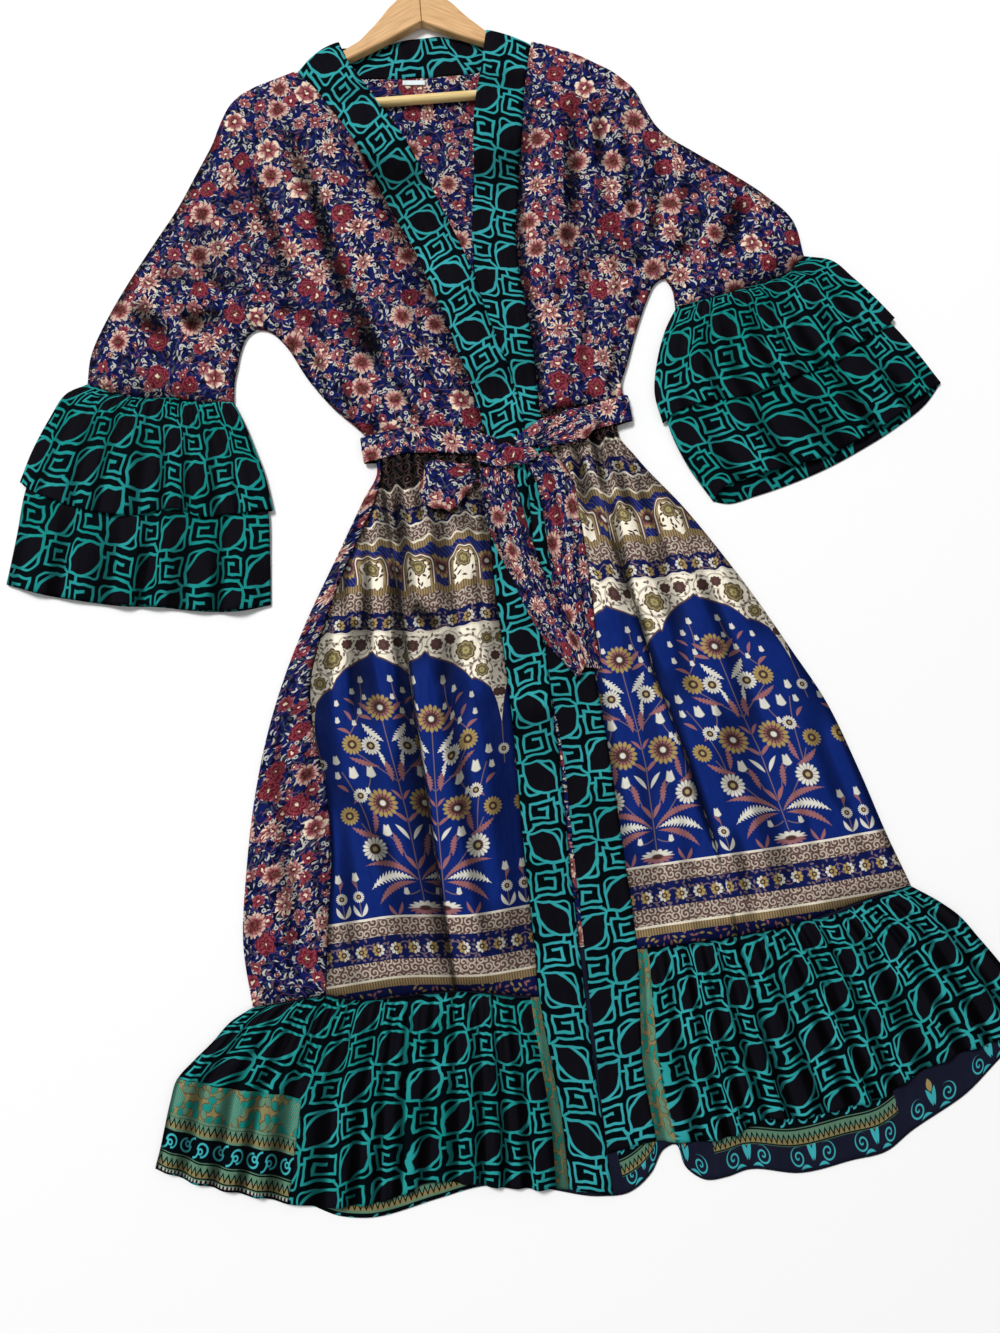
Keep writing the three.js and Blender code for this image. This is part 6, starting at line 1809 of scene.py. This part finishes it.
def rosette_colour(local, reach, tone):
    """Layered petals round a dark heart, outlined in brown."""
    wave = petal_wave(bearing(local), 8)
    rings = sine(scaled_sum(reach, 11.0, wave * -1.6))
    tone = painted(tone, UMBER, faint(under(rings - 0.1, 0.8), 0.75))
    tone = painted(tone, UMBER, under(0.72 + wave * 0.12 - reach, 0.12))
    return tone, under(reach - 0.86 - wave * 0.16, 0.1)


def foliage_cover(spot, pitch):
    """Strewn small leaves."""
    offset, luck = scattered(spot, pitch, 0.75, 71.0)
    along, across = heading_parts(offset, luck[0] * 6.283)
    return least(leaf_shape(along + pitch * 0.5, across, pitch, pitch * 0.2), above(luck[1], 0.22))


def arch_edge_height(across):
    """Height of the ivory band's lower edge, read from its table."""
    low, high = -270, -180
    tree = across.tree
    node = tree.nodes.new("ShaderNodeFloatCurve")
    curve = node.mapping.curves[0]
    places = [(x / (REPEAT / 2), (y - low) / (high - low)) for x, y in ARCH_EDGE]
    for place, at in zip(curve.points, (places[0], places[-1])):
        place.location = at
    for at in places[1:-1]:
        curve.points.new(*at)
    for place in curve.points:
        place.handle_type = "VECTOR"
    node.mapping.update()
    tree.links.new((across * (2 / REPEAT)).socket, node.inputs["Value"])
    return scaled_sum(Field(tree, node.outputs[0]), float(high - low), float(low))


def ivory_colour(spot, leaves):
    """Ivory ground with brown foliage, thin rings of stem and rosettes."""
    colour = painted(IVORY, UMBER, faint(leaves, 0.85))
    local, reach, kind = nearest(spot, ROSETTES)
    colour = painted(colour, SCROLL, faint(stroke(reach - 1.5, 0.08, 0.1), 0.6))
    petal, cover = rosette_colour(local, reach, painted(SCROLL, OLIVE, kind))
    colour = painted(colour, IVORY, under(reach - 1.06, 0.1))
    return painted(colour, petal, cover)


def bush_colour(spot, ground):
    """One half of a flowering bush, mirrored about its stem, over the blue field."""
    colour = painted(ground, STEM, any_of(stem_cover(spot, *row) for row in STEMS))
    colour = painted(colour, RUST, any_of(leaf(spot, *row) for row in PINK_LEAVES))
    colour = painted(colour, WHITE, any_of(leaf(spot, *row) for row in WHITE_LEAVES))
    local, _, _ = nearest(spot, [(x, y, size * 0.85, 0) for x, y, size in BUDS])
    colour = painted(colour, WHITE, bud_cover(local))
    lotus = moved(spot, 0, -437)
    fan = vector_step("MULTIPLY", lotus, (1 / 16, 1 / 7, 0))
    fan_reach = far(fan)
    wave = petal_wave(bearing(fan), 14)
    above_it = above(parts(lotus)[1], 0)
    colour = painted(colour, painted(RUST, WHITE, above_it), under(fan_reach - 0.7 - wave * 0.3, 0.12))
    colour = painted(colour, UMBER, under(fan_reach - 0.35, 0.15))
    local, reach, kind = nearest(spot, BUSH_FLOWERS)
    petal, cover = flower_colour(local, reach, kind)
    return painted(colour, petal, cover)


def stem_cover(spot, x0, y0, x1, y1, bend):
    """A thin stem from end to end, bent aside by a parabola."""
    along, across, length = line_parts(spot, x0, y0, x1, y1)
    middle = abs(along - length / 2) - length / 2
    if bend:
        across = scaled_sum(along * (length - along), -4 * bend / length ** 2, across)
    return under(most(middle, abs(across) - 0.5))


def bush_border_print(name):
    """The skirt's border: bands of scrolls, vines and arches, an ivory band with hanging drops, and a blue
    field of flowering bushes over bands at the foot."""
    material, tree, spot, shader = print_material(name, 0.55, 0.03)
    x, y = parts(spot)
    across = abs(wrapped(x, REPEAT))
    place = point(across, y)
    colour = bush_colour(place, ROYAL)
    edge = arch_edge_height(across)
    to_edge = edge - y
    leaves = foliage_cover(spot, 5.6)
    colour = painted(colour, ivory_colour(place, leaves), under(to_edge))
    colour = painted(colour, SCROLL, stroke(to_edge, 0.9))
    colour = painted(colour, arches_colour(x, y, leaves), band_cover(y, BANDS, {"arches"}))
    middle = chosen(chosen(y + 474.5, y + 153, above(y, -300)), y + 41.5, above(y, -100))
    colour = painted(colour, vine_colour(x, middle), band_cover(y, BANDS, {"vine"}))
    colour = painted(colour, scroll_colour(spot), band_cover(y, BANDS, {"scroll"}))
    ribs = painted(RIB, UMBER, faint(under(abs(wrapped(x, 2.6)) - 0.45, 0.8), 0.7))
    colour = painted(colour, ribs, band_cover(y, BANDS, {"rib"}))
    tile_x, tile_y = wrapped(x, 16.0), wrapped(y, 14.0)
    tile = painted(NIGHT, SCROLL, any_of([stroke(far(point(tile_x, tile_y)) - 4.4, 0.7),
                                        stroke(abs(tile_x) + abs(tile_y) - 9, 0.6),
                                        under(far(point(tile_x, tile_y)) - 1.2)]))
    colour = painted(colour, tile, band_cover(y, BANDS, {"tiles"}))
    hem = painted(BAND_NAVY, painted(RUST, GOLD, above(sine(x * 0.23), 0.2)), leaves)
    colour = painted(colour, hem, band_cover(y, BANDS, {"edge"}))
    lines = [row for height in PALE_LINES for row in ((height - 0.8, 1.0), (height + 0.8, 0.0))]
    colour = painted(colour, IVORY, faint(ramp(y, 20, -545, [(-545, 0.0)] + lines), 0.8))
    show(tree, shader, colour, spot)
    return material


# Wood, wire and ribbon

def drawn_out(uv, along, across):
    """The uv in millimetres, drawn out along the piece."""
    return vector_step("MULTIPLY", uv, (TO_MM * along, TO_MM * across, 1.0))


def wood(name, pale, dark, rings, roughness):
    """Straight grain along the piece, from drawn-out noise."""
    material, tree, shader, uv = new_material(name, roughness)
    grain = noise(drawn_out(uv, 0.035, rings), 1.0, 4.0)
    feed(tree, shader.inputs["Base Color"], painted(pale, dark, under(0.52 - grain, 0.35)))
    return material


def drawn_wire(name, bright, dull):
    """Drawn steel wire: fine streaks along its length in its colour, its roughness and its bump."""
    material, tree, shader, uv = new_material(name, 0.3)
    shader.inputs["Metallic"].default_value = 1.0
    streaks = noise(drawn_out(uv, 0.06, 1.6), 1.0, 3.0)
    feed(tree, shader.inputs["Base Color"], painted(bright, dull, streaks))
    feed(tree, shader.inputs["Roughness"], scaled_sum(streaks, 0.24, 0.2))
    bumped(tree, shader, streaks, 0.3, 0.0001)
    return material


def ribbon(name):
    """White satin with faint blue lines."""
    material, tree, spot, shader = print_material(name, 0.45, 0.3)
    _, y = parts(spot)
    lines = stroke(sine(y * 2.2), 0.35, 0.5)
    show(tree, shader, painted(srgb(238, 240, 240), srgb(166, 200, 222), lines), spot, 0.04)
    return material


floral = floral_print("floral_print")
geometric = key_print("leaf_and_key_print")
bands = key_print("leaf_and_key_print_bands", None, 0.65)
border = bush_border_print("flowering_bush_border_print")
green_border = border_strip_print("tan_and_teal_border_print")
back_ruffle = back_ruffle_print("charcoal_curl_print")
ruffle_left = key_print("leaf_and_key_print_left_ruffle", (445, 457), 0.25)
ruffle_right = key_print("leaf_and_key_print_right_ruffle", (8, 20), 0.45)
label = ribbon("label_ribbon")
beech = wood("beech", srgb(222, 178, 122), srgb(196, 146, 92), 0.7, 0.5)
pale_wood = wood("pale_wood", srgb(238, 212, 150), srgb(224, 190, 120), 0.5, 0.45)
wire = drawn_wire("wire", srgb(204, 206, 210), srgb(168, 170, 176))


# The robe, piece by piece

seam_left = seam_along(BAND_LEFT_OUTER, BAND_ENDS["left"]["waist"], BAND_ENDS["left"]["top"], -0.3)
seam_right = seam_along(BAND_RIGHT_OUTER, BAND_ENDS["right"]["waist"], BAND_ENDS["right"]["top"], 0.3)

made = {
    "bodice_back": (bodice_back("bodice_back_cloth"), floral, "floral"),
    "neckband_back": (neckband_back("neckband_back_cloth"), bands, "geometric"),
    "skirt_back": (skirt_back("skirt_back_cloth"), floral, "floral"),
    "ruffle_back": (ruffle_back("ruffle_back_cloth"), back_ruffle, "geometric"),
    "bodice_front_left": (
        bodice_front("bodice_front_left_cloth", seam_left, BODICE_LEFT, CUFF_SEAM_LEFT, 2, 12),
        floral, "floral"),
    "bodice_front_right": (
        bodice_front("bodice_front_right_cloth", seam_right, BODICE_RIGHT, CUFF_SEAM_RIGHT, 4, -9),
        floral, "floral"),
    "skirt_front_left": (skirt_front_left("skirt_front_left_cloth"), border, "border"),
    "skirt_front_right": (skirt_front_right("skirt_front_right_cloth"), border, "border"),
    "ruffle_front_left": (
        ruffle_front("ruffle_front_left_cloth", "left", GATHERS_LEFT, 400, 57), ruffle_left, "geometric"),
    "ruffle_front_right": (
        ruffle_front("ruffle_front_right_cloth", "right", GATHERS_RIGHT, 410, 8), ruffle_right, "geometric"),
    "ruffle_border_patch": (border_patch("ruffle_border_patch_cloth"), green_border, "green_border"),
    "band_right": (
        front_band("band_right_cloth", BAND_RIGHT_OUTER, BAND_RIGHT_INNER, BAND_ENDS["right"], False, (17, 5)),
        bands, "geometric"),
    "band_left": (
        front_band("band_left_cloth", BAND_LEFT_OUTER, BAND_LEFT_INNER, BAND_ENDS["left"], True, (0, 20)),
        bands, "geometric"),
    "belt_wrap": (belt_wrap("belt_wrap_cloth"), floral, "floral"),
    "belt_loop_left": (
        belt_loop("belt_loop_left_cloth", (-42.5, -19), (-101, -38), 22, 56, BELT_TOP - 0.6, 5, -0.25, 1),
        floral, "floral"),
    "belt_loop_right": (
        belt_loop("belt_loop_right_cloth", (26, 1), (94, 17), 16, 36, BELT_TOP + BELT_CLOTH + 0.6, 6, 0.2, 2),
        floral, "floral"),
    "belt_tail_right": (belt_tail("belt_tail_right_cloth", TAIL_RIGHT, CREASES_RIGHT, 3), floral, "floral"),
    "belt_tail_left": (belt_tail("belt_tail_left_cloth", TAIL_LEFT, CREASES_LEFT, -5), floral, "floral"),
    "belt_knot": (belt_knot("belt_knot_cloth"), floral, "floral"),
    "neck_label": (neck_label("neck_label_ribbon"), label, "label"),
    "hanger_arm_left": (hanger_arm("hanger_arm_left_wood", -1), beech, "beech"),
    "hanger_arm_right": (hanger_arm("hanger_arm_right_wood", 1), beech, "beech"),
    "hanger_bar": (hanger_bar("hanger_bar_wood"), pale_wood, "pale_wood"),
    "hanger_hook": (hanger_hook("hanger_hook_wire"), wire, "wire"),
}
for cuff_name in CUFFS:
    made[cuff_name] = (cuff(cuff_name), geometric, "geometric")

for node, (piece, material, slot) in made.items():
    piece.data.materials.append(material)
    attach(piece, "root")
    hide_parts(node)


# Floor, light, camera

def light_panel(name, place, aim, size, power, colour=(1, 1, 1)):
    """A soft square light aimed at a point."""
    data = bpy.data.lights.new(name, "AREA")
    data.shape, data.size, data.energy, data.color = "SQUARE", size, power, colour
    lamp = bpy.data.objects.new(name, data)
    lamp.location = place
    lamp.rotation_euler = (Vector(aim) - Vector(place)).to_track_quat("-Z", "Y").to_euler()
    bpy.context.scene.collection.objects.link(lamp)


floor_mesh = bpy.data.meshes.new("floor")
corners = [(-6, -6, -0.0004), (6, -6, -0.0004), (6, 6, -0.0004), (-6, 6, -0.0004)]
floor_mesh.from_pydata(corners, [], [(0, 1, 2, 3)])
floor = bpy.data.objects.new("floor", floor_mesh)
pale_floor, _, floor_shader, _ = new_material("pale_floor", 0.95)
floor_shader.inputs["Base Color"].default_value = srgb(250, 250, 250)
floor.data.materials.append(pale_floor)
bpy.context.scene.collection.objects.link(floor)

world = bpy.data.worlds.new("studio")
world.use_nodes = True
world.node_tree.nodes["Background"].inputs["Color"].default_value = (1.0, 1.0, 1.0, 1.0)
world.node_tree.nodes["Background"].inputs["Strength"].default_value = 0.38
bpy.context.scene.world = world
light_panel("window", (-3.6, 5.6, 9.0), (0, -0.1, 0), 3.0, 1080)

# The camera stands where the photo was taken from
CAMERA = {"place": (-0.0723, -0.3561, 0.963), "ahead": (0.02326, 0.13897, -0.99002),
          "right": (0.98629, -0.16505, 0), "lens": 26.0}
camera_data = bpy.data.cameras.new("camera")
camera_data.sensor_fit = "AUTO"
camera_data.sensor_width = 36
camera_data.lens = CAMERA["lens"]
camera_data.clip_start = 0.01
camera = bpy.data.objects.new("camera", camera_data)
back = -Vector(CAMERA["ahead"]).normalized()
right = Vector(CAMERA["right"]).normalized()
up = back.cross(right).normalized()
right = up.cross(back).normalized()
camera.matrix_world = Matrix.Translation(CAMERA["place"]) @ Matrix((right, up, back)).transposed().to_4x4()
bpy.context.scene.collection.objects.link(camera)
bpy.context.scene.camera = camera
bpy.context.scene.view_settings.view_transform = "Standard"
